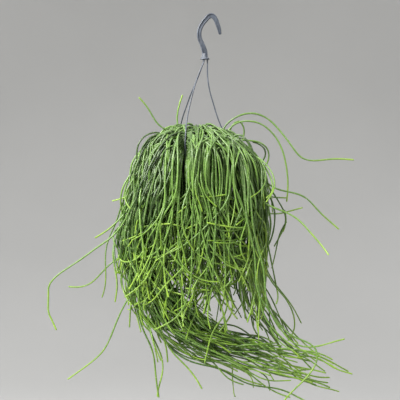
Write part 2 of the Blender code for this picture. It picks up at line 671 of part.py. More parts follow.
def out_of_pot(points, reach):
    """The moves that take points out of the pot, the soil and the space just under the base."""
    x, y = points[:, 0] - POT_X, points[:, 1]
    z = points[:, 2]
    r = np.maximum(np.hypot(x, y), 1e-6)
    move = np.zeros_like(points)
    in_rim = z > RIM_Z - LIP_DROP - reach
    r_out = np.where(in_rim, RIM_R, wall_r(z)) + reach
    r_in = POT_TOP_R - POT_WALL - reach
    top = RIM_Z + reach
    wall = (z < top) & (z > BASE_Z - reach) & (r < r_out) & (r > r_in)
    up, outwards, inwards = top - z, r_out - r, r - r_in
    go_up = wall & (up <= outwards) & (up <= inwards)
    go_out = wall & ~go_up & ((outwards <= inwards) | (z < SOIL_Z + reach))
    go_in = wall & ~go_up & ~go_out
    move[go_up, 2] = up[go_up]
    for chosen, amount in ((go_out, outwards), (go_in, -inwards)):
        move[chosen, 0] = (x / r * amount)[chosen]
        move[chosen, 1] = (y / r * amount)[chosen]
    soil = (r <= r_in) & (z < SOIL_Z + 3.0 + reach) & (z > BASE_Z + 20.0)
    move[soil, 2] = (SOIL_Z + 3.0 + reach - z)[soil]
    under = (r < POT_BASE_R + 4.0) & (z <= BASE_Z + 20.0) & (z > BASE_Z - 12.0)
    move[under, 2] = (BASE_Z - 12.0 - z)[under]
    return move


def bend_clear(stems, rods, rounds=260):
    """Moves the stems' points until no two stems touch but where they grow from each other.

    Each stem is a chain of segments. Wherever two segments come too close, each moves off by half
    of what is missing, and its neighbours follow a little, so that the bend stays soft. A stem's
    root stays in its plug, and the hanger's rods do not move.
    """
    chains = [stem["points"] for stem in stems] + rods
    first = np.cumsum([0] + [len(chain) for chain in chains])
    points = np.concatenate(chains)
    owner = np.repeat(np.arange(len(chains)), [len(chain) for chain in chains])
    place = np.arange(len(points)) - first[owner]
    rod = owner >= len(stems)
    reach = np.where(rod, LEG_COLLAR_R, STEM_R)
    plug = np.array([stem["plug"] for stem in stems] + [-1 - i for i in range(len(rods))])
    parent = np.array([-1 if stem["parent"] is None else stem["parent"] for stem in stems]
                      + [-1] * len(rods))
    fixed = rod | ((place < 1) & (parent[owner] < 0))
    seg = np.flatnonzero(owner[:-1] == owner[1:])
    seg_owner, seg_place = owner[seg], place[seg]
    inner = np.flatnonzero((place > 0) & (np.append(owner[1:], -1) == owner))
    joints = [(first[i], first[stem["parent"]] + stem["joint"])
              for i, stem in enumerate(stems) if stem["parent"] is not None]
    for turn in range(rounds):
        a, b = points[seg], points[seg + 1]
        low, high = np.minimum(a, b) - 2.6, np.maximum(a, b) + 2.6
        near = np.ones((len(seg), len(seg)), bool)
        for axis in range(3):
            near &= low[:, None, axis] < high[None, :, axis]
            near &= low[None, :, axis] < high[:, None, axis]
        i, j = np.nonzero(np.triu(near, 1))
        apart = (seg_owner[i] != seg_owner[j]) & ~(rod[seg[i]] & rod[seg[j]])
        rooted = (plug[seg_owner[i]] == plug[seg_owner[j]]) & (seg_place[i] < 1) & (seg_place[j] < 1)
        joined = ((parent[seg_owner[i]] == seg_owner[j]) & (seg_place[i] < 1)
                  | (parent[seg_owner[j]] == seg_owner[i]) & (seg_place[j] < 1))
        siblings = ((parent[seg_owner[i]] >= 0) & (parent[seg_owner[i]] == parent[seg_owner[j]])
                    & (seg_place[i] < 1) & (seg_place[j] < 1))
        apart &= ~joined & ~siblings
        i, j, rooted = i[apart], j[apart], rooted[apart]
        s, t = nearest(a[i], b[i], a[j], b[j])
        line = (a[i] + s[:, None] * (b[i] - a[i])) - (a[j] + t[:, None] * (b[j] - a[j]))
        gap = np.linalg.norm(line, axis=1)
        need = reach[seg[i]] + reach[seg[j]] + STEM_GAP
        need = np.where(rooted, np.minimum(need, np.linalg.norm(a[i] - a[j], axis=1)), need)
        left = int((gap < need - 0.5 * STEM_GAP).sum())
        inside = sum(np.abs(out_of_pot(blend((a, b), share), STEM_R + 0.4 * STEM_GAP))[~fixed[seg]].sum()
                     for share in (0.0, 0.125, 0.25, 0.375, 0.5, 0.625, 0.75, 0.875))
        if turn > 60 and not left and inside == 0.0:
            break
        close = gap < need
        i, j, s, t = i[close], j[close], s[close], t[close]
        line, gap, need = line[close], gap[close], need[close]
        way = np.where(gap[:, None] > 1e-3, line / np.maximum(gap, 1e-3)[:, None],
                       np.array([0.0, 1.0, 0.0]))
        push = way * ((need - gap) * 0.55)[:, None]
        move, weight = np.zeros_like(points), np.zeros(len(points))
        for index, share, sign in ((seg[i], 1 - s, 1), (seg[i] + 1, s, 1),
                                   (seg[j], 1 - t, -1), (seg[j] + 1, t, -1)):
            np.add.at(move, index, sign * push * share[:, None])
            np.add.at(weight, index, share)
        move /= np.maximum(weight, 1.0)[:, None]
        if turn < rounds - 40:
            soft = move.copy()
            soft[inner] += 0.25 * (move[inner - 1] + move[inner + 1])
            move = soft
        move[fixed] = 0.0
        points = points + move
        for share in (0.0, 0.25, 0.5, 0.75):
            sample = points[seg] * (1 - share) + points[seg + 1] * share
            away = out_of_pot(sample, STEM_R + 2 * STEM_GAP) / ((1 - share) ** 2 + share ** 2)
            for index, part in ((seg, 1 - share), (seg + 1, share)):
                points[index] += np.where(fixed[index][:, None], 0.0, away * part)
        for child, joint in joints:
            points[child] = points[joint]
    for number, stem in enumerate(stems):
        stem["points"] = points[first[number]:first[number + 1]]
    return left, inside


def build_sprays(places, look):
    """One object for each root plug with the stems that grow from it."""
    stems = lay_out(places)
    rods = [leg_path(*leg) for leg in LEGS.values()]
    rods += [np.array([(*leg_hole(azimuth), RIM_Z + 6.0), (*leg_hole(azimuth), RIM_Z - 9.0)])
             for azimuth, _ in LEGS.values()]
    left = bend_clear(stems, rods)
    print("stems", len(stems), "still close", left)
    sprays = []
    for number, place in enumerate(places):
        name = f"spray_{number + 1:02d}"
        profile = ((PLUG_R, SOIL_Z - PLUG_DEPTH), (PLUG_R, SOIL_Z + PLUG_RISE - 1.5),
                   (PLUG_R - 1.5, SOIL_Z + PLUG_RISE))
        spray = turned(name, profile, place, PLUG_SIDES, look)
        parts = []
        for index, stem in enumerate(stems):
            if stem["plug"] == number:
                start_r = STEM_R if stem["parent"] is None else STEM_FORK_R
                radii = np.linspace(start_r, STEM_TIP_R, len(stem["points"]))
                shape = tube(stem["points"], radii, STEM_SIDES, roll=0.37 * index)
                parts.append(add_object("stem", *shape, look))
        combine(spray, parts, "UNION", "MANIFOLD")
        shade(spray, 60.0)
        sprays.append(spray)
    return sprays


def main():
    clear_scene()
    hanger = material("hanger_plastic", (112, 118, 128), 0.42)
    pot_plastic = material("pot_plastic", (58, 60, 62), 0.5)
    earth = material("potting_soil", (52, 39, 29), 0.95)
    green = material("rhipsalis_stem", (102, 129, 67), 0.45)
    build_hook(hanger)
    for name, (azimuth, way) in LEGS.items():
        build_leg(name, azimuth, way, hanger)
    places = plug_places()
    build_pot(pot_plastic)
    build_soil(places, earth)
    build_sprays(places, green)


main()
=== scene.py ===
# %% [markdown]
# # A potted rhipsalis on its hanger
#
# A rhipsalis is a cactus without leaves. Hundreds of thin green stems spring from the pot, arch
# over its rim and hang down like a long head of hair. This lesson dresses a plain solid model of
# such a plant: it keeps the place of every solid, and gives each a finer surface and a finish of
# its own.
#
# The solids are in metres with +Z up and the front of the plant facing -Y. The origin is the seat
# of the hook, where it lies on its nail. Lengths in this file are in millimetres, and are turned
# into metres where a mesh is made.

# %% The solids that everything is fitted to
import json
import math

import bpy
import numpy as np
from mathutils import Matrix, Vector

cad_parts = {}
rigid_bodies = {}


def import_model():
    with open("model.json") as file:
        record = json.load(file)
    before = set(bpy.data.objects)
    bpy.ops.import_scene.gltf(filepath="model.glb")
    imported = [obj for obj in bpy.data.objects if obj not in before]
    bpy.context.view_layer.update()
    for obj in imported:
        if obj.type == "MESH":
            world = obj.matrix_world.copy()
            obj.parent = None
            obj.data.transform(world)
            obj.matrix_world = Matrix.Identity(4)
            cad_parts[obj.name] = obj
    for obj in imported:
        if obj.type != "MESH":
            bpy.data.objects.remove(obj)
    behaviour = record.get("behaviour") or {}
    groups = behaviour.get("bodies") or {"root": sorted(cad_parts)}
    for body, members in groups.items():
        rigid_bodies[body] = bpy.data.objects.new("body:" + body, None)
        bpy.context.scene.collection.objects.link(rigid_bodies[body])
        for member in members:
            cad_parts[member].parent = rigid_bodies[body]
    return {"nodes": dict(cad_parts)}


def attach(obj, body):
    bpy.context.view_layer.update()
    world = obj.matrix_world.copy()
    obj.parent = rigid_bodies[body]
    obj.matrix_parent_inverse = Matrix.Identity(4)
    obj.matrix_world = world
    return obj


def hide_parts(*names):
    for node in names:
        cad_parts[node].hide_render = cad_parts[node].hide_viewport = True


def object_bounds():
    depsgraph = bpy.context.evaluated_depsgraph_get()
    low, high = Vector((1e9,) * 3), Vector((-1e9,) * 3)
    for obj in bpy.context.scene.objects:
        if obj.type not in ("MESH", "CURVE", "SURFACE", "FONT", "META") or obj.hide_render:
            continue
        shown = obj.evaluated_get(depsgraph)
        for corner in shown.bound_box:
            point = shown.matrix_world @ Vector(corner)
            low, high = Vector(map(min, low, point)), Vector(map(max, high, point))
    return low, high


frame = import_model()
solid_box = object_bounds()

MM = 0.001
sprays = sorted(name for name in frame["nodes"] if name.startswith("spray_"))
print("solids:", len(frame["nodes"]), "of which sprays of stems:", len(sprays))
print("box in mm:", [[round(c / MM, 1) for c in corner] for corner in solid_box])

# %% [markdown]
# ## The camera
#
# The plant is seen from straight in front, hardly above its middle. The picture is square and
# shows 760 mm from side to side at the depth of the hook. The lens follows from that and from the
# distance: half the width over the distance is the tangent of half the angle of view.

# %% Camera
VIEW_WIDTH = 760.0
VIEW_CENTRE = (-21.9, 0.0, -343.0)
VIEW_DISTANCE = 1700.0
VIEW_HEIGHT = math.radians(2.0)

eye = bpy.data.cameras.new("eye")
eye.sensor_width = 36.0
eye.lens = eye.sensor_width * VIEW_DISTANCE / VIEW_WIDTH
camera = bpy.data.objects.new("camera", eye)
bpy.context.scene.collection.objects.link(camera)
camera.location = MM * (np.array(VIEW_CENTRE) + VIEW_DISTANCE * np.array(
    [0.0, -math.cos(VIEW_HEIGHT), math.sin(VIEW_HEIGHT)]))
camera.rotation_euler = (math.pi / 2 - VIEW_HEIGHT, 0.0, 0.0)
bpy.context.scene.camera = camera
print("lens in mm:", round(eye.lens, 1))

# %% [markdown]
# ## Writing a finish as a sum
#
# A material in Blender is a tree of nodes. Wiring it by hand takes many lines, so one small class
# wraps the socket at a node's output. A sum or a product of two wires adds a Math node, and `node`
# adds any other, with its settings and the values or wires that go into its sockets. Colours don't
# pass through a Math node, which would turn them grey. A Mix node blends them instead.

# %% A wire in a material
def feed(tree, node, values):
    """A value that is a wire goes into the node's socket of that name, any other is set on it."""
    for name, value in values.items():
        if isinstance(value, Wire):
            tree.links.new(value.socket, node.inputs[name])
        else:
            node.inputs[name].default_value = value


class Wire:
    """The output of a node. Wires can be added, subtracted and multiplied."""

    def __init__(self, tree, socket=None):
        self.tree, self.socket = tree, socket

    def node(self, kind, settings, values, out=0):
        """Adds a node with its settings and values, and returns one of its outputs as a wire."""
        made = self.tree.nodes.new(kind)
        for name, value in settings.items():
            setattr(made, name, value)
        feed(self.tree, made, values)
        return Wire(self.tree, made.outputs[out])

    def maths(self, operation, first, second):
        return self.node("ShaderNodeMath", {"operation": operation}, {0: first, 1: second})

    def __add__(self, other):
        return self.maths("ADD", self, other)

    def __mul__(self, other):
        return self.maths("MULTIPLY", self, other)

    def __sub__(self, other):
        return self.maths("SUBTRACT", self, other)

    def __rsub__(self, other):
        return self.maths("SUBTRACT", other, self)

    __radd__, __rmul__ = __add__, __mul__


def srgb(red, green, blue):
    """A colour as read off a screen, from 0 to 255, turned into the linear one of a shader."""
    return (*(((c / 255 + 0.055) / 1.055) ** 2.4 for c in (red, green, blue)), 1.0)


# %% [markdown]
# Every finish here starts alike: a Principled shader, and the Object coordinates of the piece,
# which are metres in the plant's own frame. Noise is a cloud of soft random spots, whose size in
# millimetres is easier to think in than a scale. An edge turns a slow change into a sharp one.

# %% Helpers that every finish uses
BUMP_HEIGHT = 0.5  # millimetres between a height of 0 and of 1


def start_finish(name):
    """A new material, and a wire with the Object coordinates in it."""
    made = bpy.data.materials.new(name)
    made.use_nodes = True
    return made, Wire(made.node_tree).node("ShaderNodeTexCoord", {}, {}, out="Object")


def spots(where, size, detail=2.0, stretch=None):
    """Noise from 0 to 1 with spots of a size in millimetres, drawn out along an axis if asked."""
    if stretch is not None:
        where = where.node("ShaderNodeMapping", {}, {"Vector": where, "Scale": stretch})
    return where.node("ShaderNodeTexNoise", {},
                      {"Vector": where, "Scale": 1.0 / (size * MM), "Detail": detail})


def edge(value, low, high):
    """0 below low, 1 above high, and a smooth change between them."""
    return value.node("ShaderNodeMapRange", {"interpolation_type": "SMOOTHSTEP"},
                      {"Value": value, "From Min": low, "From Max": high})


def mixed(first, second, share):
    """A colour between two, by a share from 0 to 1."""
    return share.node("ShaderNodeMix", {"data_type": "RGBA"}, {0: share, 6: first, 7: second},
                      out=2)


def end_finish(made, colour, roughness, height=None, relief=0.3):
    """Feeds the shader its colour and its roughness, and a bump where there is a height."""
    values = {"Base Color": colour, "Roughness": roughness}
    if height is not None:
        values["Normal"] = height.node("ShaderNodeBump", {}, {
            "Height": height, "Strength": relief, "Distance": BUMP_HEIGHT * MM})
    feed(made.node_tree, made.node_tree.nodes["Principled BSDF"], values)
    print("finish:", made.name, len(made.node_tree.nodes), "nodes")
    return made


# %% [markdown]
# ## The hanger's plastic
#
# The hook and its legs are moulded in one grey-blue plastic. Up close it isn't even: the melt
# leaves faint flow streaks, the die leaves a fine grain, and dust settles in patches, where the
# plastic is paler and less shiny. The streaks run down the piece, so their noise is drawn out
# along Z.

# %% Finish of the hanger
def hanger_finish():
    made, where = start_finish("hanger_plastic")
    streaks = spots(where, 5.0, 3.0, (1.0, 1.0, 0.18))
    grain = spots(where, 0.7)
    dust = edge(spots(where, 14.0, 4.0), 0.48, 0.75)
    colour = mixed(srgb(62, 68, 78), srgb(84, 91, 103), edge(streaks, 0.3, 0.7))
    colour = mixed(colour, srgb(128, 133, 141), dust * 0.35)
    return end_finish(made, colour, 0.36 + 0.12 * grain + 0.14 * dust, grain + 0.6 * streaks, 0.22)


HANGER = hanger_finish()

# %% [markdown]
# ## The pot's plastic
#
# The pot is a thin grey-black nursery pot. Watering leaves a pale chalky bloom on it, in spots and
# in runs, and the plastic itself has the soft grain of a cheap mould.

# %% Finish of the pot
def pot_finish():
    made, where = start_finish("pot_plastic")
    grain = spots(where, 0.9, 3.0)
    chalk = edge(spots(where, 22.0, 6.0), 0.5, 0.72)
    runs = edge(spots(where, 9.0, 3.0, (1.0, 1.0, 0.12)), 0.52, 0.7)
    colour = mixed(srgb(44, 46, 48), srgb(66, 68, 70), grain)
    colour = mixed(colour, srgb(118, 116, 110), chalk * 0.28 + runs * 0.16)
    return end_finish(made, colour, 0.42 + 0.18 * chalk + 0.1 * grain, grain, 0.25)


POT = pot_finish()

# %% [markdown]
# ## The soil
#
# Potting soil is dark, crumbly peat with bits of bark, and with white grains of perlite that keep
# it airy. Two sizes of noise make the crumbs. The grains are the middles of the cells of a Voronoi
# pattern, which scatters points evenly and measures the distance to the nearest one.

# %% Finish of the soil
def soil_finish():
    made, where = start_finish("potting_soil")
    crumbs, fine = spots(where, 5.0, 6.0), spots(where, 1.1, 3.0)
    cell = where.node("ShaderNodeTexVoronoi", {}, {"Vector": where, "Scale": 1.0 / (7.0 * MM)})
    grains = 1 - edge(cell, 0.16, 0.22)
    colour = mixed(srgb(34, 25, 19), srgb(86, 64, 45), edge(crumbs, 0.35, 0.7))
    colour = mixed(colour, srgb(118, 96, 70), edge(fine, 0.58, 0.75) * 0.6)
    colour = mixed(colour, srgb(206, 200, 188), grains * 0.85)
    return end_finish(made, colour, 0.95 - 0.15 * grains, crumbs + 0.5 * fine + grains, 0.8)


SOIL = soil_finish()

# %% [markdown]
# ## The stems' skin
#
# A young rhipsalis stem is a bright yellow-green, and as it ages it turns a deeper green and at
# last a dull grey-green near the soil. So the skin follows an attribute that the stems' mesh
# carries for every point: X is the point's place, from 0 at the root to 1 at the young tip, Y a
# tone of the whole stem, and Z the distance along it. The tone is partly random and partly painted
# shade: stems deep inside the head and in the streams get a lower tone, which paints them darker
# in place of the shade that the other stems cast on them. The distance makes the faint knots, each
# with its tiny pale dot of wool, from which the flowers would come.

# %% Finish of the stems
STEM_DATA = "growth"
KNOT_SPACING = 12.0


def stem_finish():
    made, where = start_finish("rhipsalis_stem")
    data = where.node("ShaderNodeAttribute", {"attribute_name": STEM_DATA}, {}, out="Vector")
    youth, tone_and_painted_shade, run = (data.node("ShaderNodeSeparateXYZ", {}, {"Vector": data}, out=axis)
                        for axis in "XYZ")
    mottle, fine = spots(where, 16.0, 4.0), spots(where, 0.8)
    # Each colour runs from a dark one at tone 0 to a light one at tone 1. The dark end is partly
    # the stem's own deeper green and partly painted shade for the inner stems.
    deep = mixed(srgb(10, 32, 5), srgb(110, 140, 82), tone_and_painted_shade)
    full = mixed(srgb(20, 56, 6), srgb(116, 154, 68), tone_and_painted_shade)
    fresh = mixed(srgb(74, 116, 8), srgb(154, 188, 58), tone_and_painted_shade)
    shift = youth + 0.5 * (mottle - 0.5)
    colour = mixed(deep, full, edge(shift, 0.12, 0.5))
    colour = mixed(colour, fresh, edge(shift, 0.7, 1.12))
    colour = mixed(colour, srgb(112, 96, 62), (1 - edge(youth, 0.0, 0.07)) * 0.55)
    knot = run.maths("PINGPONG", run + 2.0 * mottle, KNOT_SPACING / 2)
    wool = (1 - edge(knot, 0.25, 0.9)) * edge(fine, 0.45, 0.6)
    colour = mixed(colour, srgb(190, 200, 150), wool * 0.5)
    return end_finish(made, colour, 0.27 + 0.14 * fine + 0.1 * mottle, fine + 0.8 * wool, 0.16)


STEM = stem_finish()

# %% [markdown]
# The cut end of a pruned stem shows its dry, pale pith.

# %% Finish of the cut ends
def cut_finish():
    made, where = start_finish("cut_end")
    pith = spots(where, 0.9, 3.0)
    colour = mixed(srgb(168, 160, 120), srgb(222, 216, 186), pith)
    return end_finish(made, colour, 0.8 + 0.1 * pith, pith, 0.4)


CUT = cut_finish()

# %% [markdown]
# ## From arrays to a piece
#
# All the shapes below are arrays of points worked out with numpy. One function puts points and
# faces into a mesh and makes it a piece that goes with the plant. Another makes the closed surface
# over a row of rings, which is what the hook, the pot, the soil and the floor of the studio are.

# %% Making a piece
def make_piece(name, points, faces, finishes, stands_for, slot, sharp, choice=None):
    """A piece from points in millimetres and a list of face arrays, one for each face size.

    Edges sharper than an angle in degrees stay sharp. The choice is each face's finish.
    """
    mesh = bpy.data.meshes.new(name)
    mesh.vertices.add(len(points))
    mesh.vertices.foreach_set("co", (np.asarray(points) * MM).astype(np.float32).ravel())
    corners = np.concatenate([group.ravel() for group in faces]).astype(np.int32)
    sizes = np.concatenate([np.full(len(group), group.shape[1]) for group in faces])
    mesh.loops.add(len(corners))
    mesh.loops.foreach_set("vertex_index", corners)
    mesh.polygons.add(len(sizes))
    mesh.polygons.foreach_set("loop_start", (np.cumsum(sizes) - sizes).astype(np.int32))
    for finish in finishes:
        mesh.materials.append(finish)
    if choice is not None:
        mesh.polygons.foreach_set("material_index", choice.astype(np.int32))
    mesh.update(calc_edges=True)
    mesh.validate()
    mesh.shade_smooth()
    mesh.set_sharp_from_angle(angle=math.radians(sharp))
    piece = bpy.data.objects.new(name, mesh)
    bpy.context.scene.collection.objects.link(piece)
    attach(piece, "root")
    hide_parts(*stands_for)
    return piece


def closed_rings(rings, first=0):
    """Points and faces of a surface over rings, (ring, place on it, xyz), with two flat ends.

    The faces are [walls, ends] and count their points from the first. They face outwards where the
    rings turn left, seen from the last one.
    """
    index = first + np.arange(rings.size // 3).reshape(rings.shape[:2])
    low, high = index[:-1], index[1:]
    walls = np.stack([low, np.roll(low, -1, axis=1), np.roll(high, -1, axis=1), high], axis=-1)
    return rings.reshape(-1, 3), [walls.reshape(-1, 4), np.stack([index[0, ::-1], index[-1]])]


def lathe(profile, sides, x, y=0.0):
    """The rings of a turned shape: one for each (radius, height) of the profile."""
    profile = np.asarray(profile, float)
    turn = np.linspace(0.0, 2 * math.pi, sides, endpoint=False)
    radius, height = profile[:, :1], profile[:, 1:]
    return np.stack([x + radius * np.cos(turn), y + radius * np.sin(turn),
                     np.broadcast_to(height, (len(profile), sides))], axis=-1)


# %% [markdown]
# ## A curve through points
#
# The hook, the legs and the stems all follow a smooth curve through a few way points. A
# Catmull-Rom curve is the handy one: between two points it blends two parabolas, each through
# three points in a row. Here its speed goes with the square root of the points' distances, so it
# never loops.

# %% Curves
def catmull_rom(points, per_span=10):
    """A smooth curve through the points: three rounds of blending neighbours by the knots."""
    p = np.asarray(points, float)
    p = np.vstack([2 * p[0] - p[1], p, 2 * p[-1] - p[-2]])
    knots = np.concatenate([[0.0], np.cumsum(np.linalg.norm(np.diff(p, axis=0), axis=1) ** 0.5)])
    out = []
    for i in range(1, len(p) - 2):
        t = np.linspace(knots[i], knots[i + 1], per_span, endpoint=False)[:, None]
        k0, k1, k2, k3 = knots[i - 1:i + 3]
        a = ((k1 - t) * p[i - 1] + (t - k0) * p[i]) / (k1 - k0)
        b = ((k2 - t) * p[i] + (t - k1) * p[i + 1]) / (k2 - k1)
        c = ((k3 - t) * p[i + 1] + (t - k2) * p[i + 2]) / (k3 - k2)
        ab = ((k2 - t) * a + (t - k0) * b) / (k2 - k0)
        bc = ((k3 - t) * b + (t - k1) * c) / (k3 - k1)
        out.append(((k2 - t) * ab + (t - k1) * bc) / (k2 - k1))
    out.append(p[-2:-1])
    return np.concatenate(out)


def along(path):
    """The distance along a path at each of its points."""
    return np.concatenate([[0.0], np.cumsum(np.linalg.norm(np.diff(path, axis=0), axis=1))])


def at(path, distance):
    """The points of a path at the given distances along it."""
    run = along(path)
    return np.stack([np.interp(distance, run, path[:, axis]) for axis in range(3)], axis=-1)


def blend(pair, share):
    return pair[0] + (pair[1] - pair[0]) * share


# %% [markdown]
# ## Tubes, many at once
#
# A stem or a leg is a ring carried along its curve. At each row the ring needs a direction across
# the curve that doesn't twist, so it is carried from row to row and made square to the curve
# again. The arrays hold all tubes of one piece side by side, so the loop is over the rows only.

# %% Tubes
def tubes(lines, radii, sides):
    """Points and faces of closed tubes. Lines are (tube, row, xyz), radii (tube, row).

    A ring's point is the line's point plus the radius times cos(turn) of one direction across the
    line and sin(turn) of the other. Each tube is closed by a flat face at both ends.
    """
    way = np.gradient(lines, axis=1)
    way /= np.linalg.norm(way, axis=2, keepdims=True)
    side = np.empty_like(way)
    carried = np.cross(way[:, 0], (0.3, 1.0, 0.2))
    for row in range(lines.shape[1]):
        carried = carried - way[:, row] * (carried * way[:, row]).sum(axis=1, keepdims=True)
        carried /= np.linalg.norm(carried, axis=1, keepdims=True)
        side[:, row] = carried
    across = np.cross(way, side)
    turn = np.linspace(0.0, 2 * math.pi, sides, endpoint=False)[:, None]
    ring = np.cos(turn) * side[:, :, None] + np.sin(turn) * across[:, :, None]
    points = lines[:, :, None] + radii[:, :, None, None] * ring
    index = np.arange(points.size // 3).reshape(points.shape[:3])
    right = np.roll(index, -1, axis=2)
    walls = np.stack([index[:, :-1], right[:, :-1], right[:, 1:], index[:, 1:]], axis=-1)
    ends = np.concatenate([index[:, 0, ::-1], index[:, -1]])
    return points.reshape(-1, 3), walls.reshape(-1, 4), ends


# %% [markdown]
# ## The hook
#
# The hook is moulded as an I-beam: a thin web between two flanges, which makes it stiff for little
# plastic. Its outline tapers to the tip and swells over the seat. The flanges' front and back
# slant towards their edges, which lets the piece out of its mould. The section is a closed loop of
# (out, deep) points, out from the curve in its own plane and deep along Y, and it is carried along
# the curve. At the tip it shrinks in a few rows, so the end is rounded.

# %% Hook
HOOK_LINE = (
    (16.2, -30.4, 2.6), (14.2, -20.0, 3.7), (11.4, -11.4, 4.1), (8.0, -2.9, 4.4), (4.0, 2.9, 4.7),
    (-0.8, 4.9, 4.9), (-5.9, 3.0, 4.8), (-11.0, -2.5, 4.6), (-16.6, -9.5, 4.4),
    (-20.7, -16.5, 4.3), (-23.1, -24.7, 4.3), (-23.2, -33.3, 4.3), (-21.2, -40.9, 4.4),
    (-17.9, -48.5, 4.7), (-14.8, -57.0, 5.0), (-12.8, -64.6, 5.2), (-12.5, -71.0, 5.2),
)
HOOK_FLANGE = 1.8
HOOK_DEPTH = 2.8  # half, from front to back
HOOK_EDGE = 1.5  # the same at the edges of the flanges
HOOK_WEB = 1.0  # the same for the web
HOOK_OUTER_R, HOOK_INNER_R = 0.8, 0.35  # the radii of the section's corners
HOOK_ROWS = 150
HOOK_TIP = 1.7  # the length over which the section shrinks to the tip
TIP_ROWS_AT = (0.0, 0.15, 0.5, 1.0)


def hook_section(half):
    """The I-beam's outline with its twelve corners rounded, as (out, deep) in each row.

    A corner becomes four points on an arc from one side to the next: from the corner, 1 - sin of
    the turn of its radius back along the side before it, and 1 - cos of it along the side after.
    """
    out = half[:, None] - np.array([0.0, HOOK_FLANGE, HOOK_FLANGE])
    deep = np.broadcast_to([HOOK_EDGE, HOOK_DEPTH, HOOK_WEB], out.shape)
    quarter = np.stack([out, deep], axis=-1)
    upper = np.concatenate([quarter, quarter[:, ::-1] * (-1.0, 1.0)], axis=1)
    corners = np.concatenate([upper, -upper], axis=1)
    radius = np.where(np.isin(np.arange(12), (0, 5, 6, 11)), HOOK_OUTER_R, HOOK_INNER_R)[:, None]
    before, after = (np.roll(corners, way, axis=1) - corners for way in (1, -1))
    before *= radius / np.linalg.norm(before, axis=2, keepdims=True)
    after *= radius / np.linalg.norm(after, axis=2, keepdims=True)
    turns = np.radians((0.0, 30.0, 60.0, 90.0))
    rounded = [corners + (1 - np.sin(turn)) * before + (1 - np.cos(turn)) * after for turn in turns]
    return np.stack(rounded, axis=2).reshape(len(half), -1, 2)


def hook_points():
    """Rings of the hook's section along its curve, evenly spaced, with a rounded tip."""
    curve = catmull_rom(np.asarray(HOOK_LINE), 12)
    run = along(curve[:, :2])
    even = np.concatenate([TIP_ROWS_AT, np.linspace(HOOK_TIP, run[-1], HOOK_ROWS)])
    x, z, half = (np.interp(even, run, curve[:, axis]) for axis in range(3))
    way = np.stack([np.gradient(x, even), np.gradient(z, even)], axis=1)
    way /= np.linalg.norm(way, axis=1, keepdims=True)
    section = hook_section(half)
    grow = np.minimum(1.0, 0.8 + 0.2 * even / 8.0)
    shrink = np.sqrt(1 - 0.75 * (1 - np.minimum(even, HOOK_TIP) / HOOK_TIP) ** 2)
    out = section[:, :, 0] * shrink[:, None]
    deep = section[:, :, 1] * (grow * shrink)[:, None]
    return np.stack([x[:, None] - way[:, 1:] * out, deep, z[:, None] + way[:, :1] * out], axis=-1)


# %% [markdown]
# Under the curve sits the hub, a small turned bell that the legs grow out of. A profile with a few
# close rings keeps each edge crisp but not razor sharp, as in a real mould.

# %% Hub, and the hook as one piece
HUB_X = -12.5
HUB_SIDES = 48
HUB_PROFILE = ((0.2, -66.2), (4.6, -66.2), (5.2, -66.35), (5.42, -66.8), (5.8, -70.5),
               (6.1, -71.8), (6.8, -73.5), (7.7, -74.8), (8.45, -75.6), (8.72, -76.0),
               (8.8, -76.5), (8.8, -77.2), (8.6, -77.5), (8.2, -77.6), (7.4, -77.6), (7.2, -77.4),
               (0.2, -77.0))


def build_hook():
    beam, beam_faces = closed_rings(hook_points())
    hub, hub_faces = closed_rings(lathe(HUB_PROFILE, HUB_SIDES, HUB_X)[::-1], first=len(beam))
    faces = [group[:, ::-1] for group in beam_faces] + hub_faces
    return make_piece("hanger_hook", np.concatenate([beam, hub]), faces, [HANGER], ["hook"],
                      "hanger_plastic", 32)


hook = build_hook()
print("hook faces:", len(hook.data.polygons))

# %% [markdown]
# ## The legs
#
# Three thin rods run from the hub to holes in the pot's rim. Each has a collar that rests on the
# rim and a barb that snaps through the hole. A leg is a tube whose radius changes along it, so a
# ring list of (height, radius) at its foot is all that the collar and the barb need.

# %% Legs
POT_X = -23.5
RIM_Z = -268.0
LEG_R = 1.25
LEG_SIDES = 14
LEG_ROWS = 110
LEG_SOCKET_R = 4.7
LEG_RING_R = 67.6
LEGS = {
    "hanger_leg_right": (7.0, (
        (-8.0, 0.9, -96.0), (-7.0, 1.6, -115.0), (-3.0, 2.6, -138.0), (4.0, 3.8, -162.0),
        (11.0, 5.0, -185.0), (20.0, 6.2, -207.0), (32.0, 7.3, -232.0), (41.0, 8.0, -252.0))),
    "hanger_leg_left": (127.0, (
        (-24.0, 12.0, -105.0), (-33.0, 20.0, -126.0), (-41.0, 27.0, -144.0),
        (-48.0, 34.0, -163.0), (-55.5, 41.0, -184.0), (-60.5, 47.0, -205.0),
        (-63.5, 51.5, -232.0), (-64.2, 53.6, -252.0))),
    "hanger_leg_front": (-112.0, (
        (-26.0, -13.0, -111.0), (-33.0, -22.0, -134.0), (-40.0, -32.0, -162.0),
        (-45.0, -42.0, -187.0), (-47.5, -50.0, -208.0), (-49.0, -58.0, -232.0),
        (-49.0, -62.0, -252.0))),
}
LEG_FOOT = ((3.2, 1.25), (2.5, 1.6), (2.2, 1.95), (1.9, 2.1), (0.6, 2.1), (0.3, 1.9), (0.28, 1.25),
            (-1.84, 1.25), (-1.9, 1.7), (-2.2, 1.95), (-3.5, 1.9), (-5.2, 1.4), (-6.6, 0.9),
            (-6.9, 0.6))


def ring_place(x, radius, azimuth):
    """A place (x, y) on a circle round an upright axis at x, at an angle in degrees."""
    turn = math.radians(azimuth)
    return x + radius * math.cos(turn), radius * math.sin(turn)


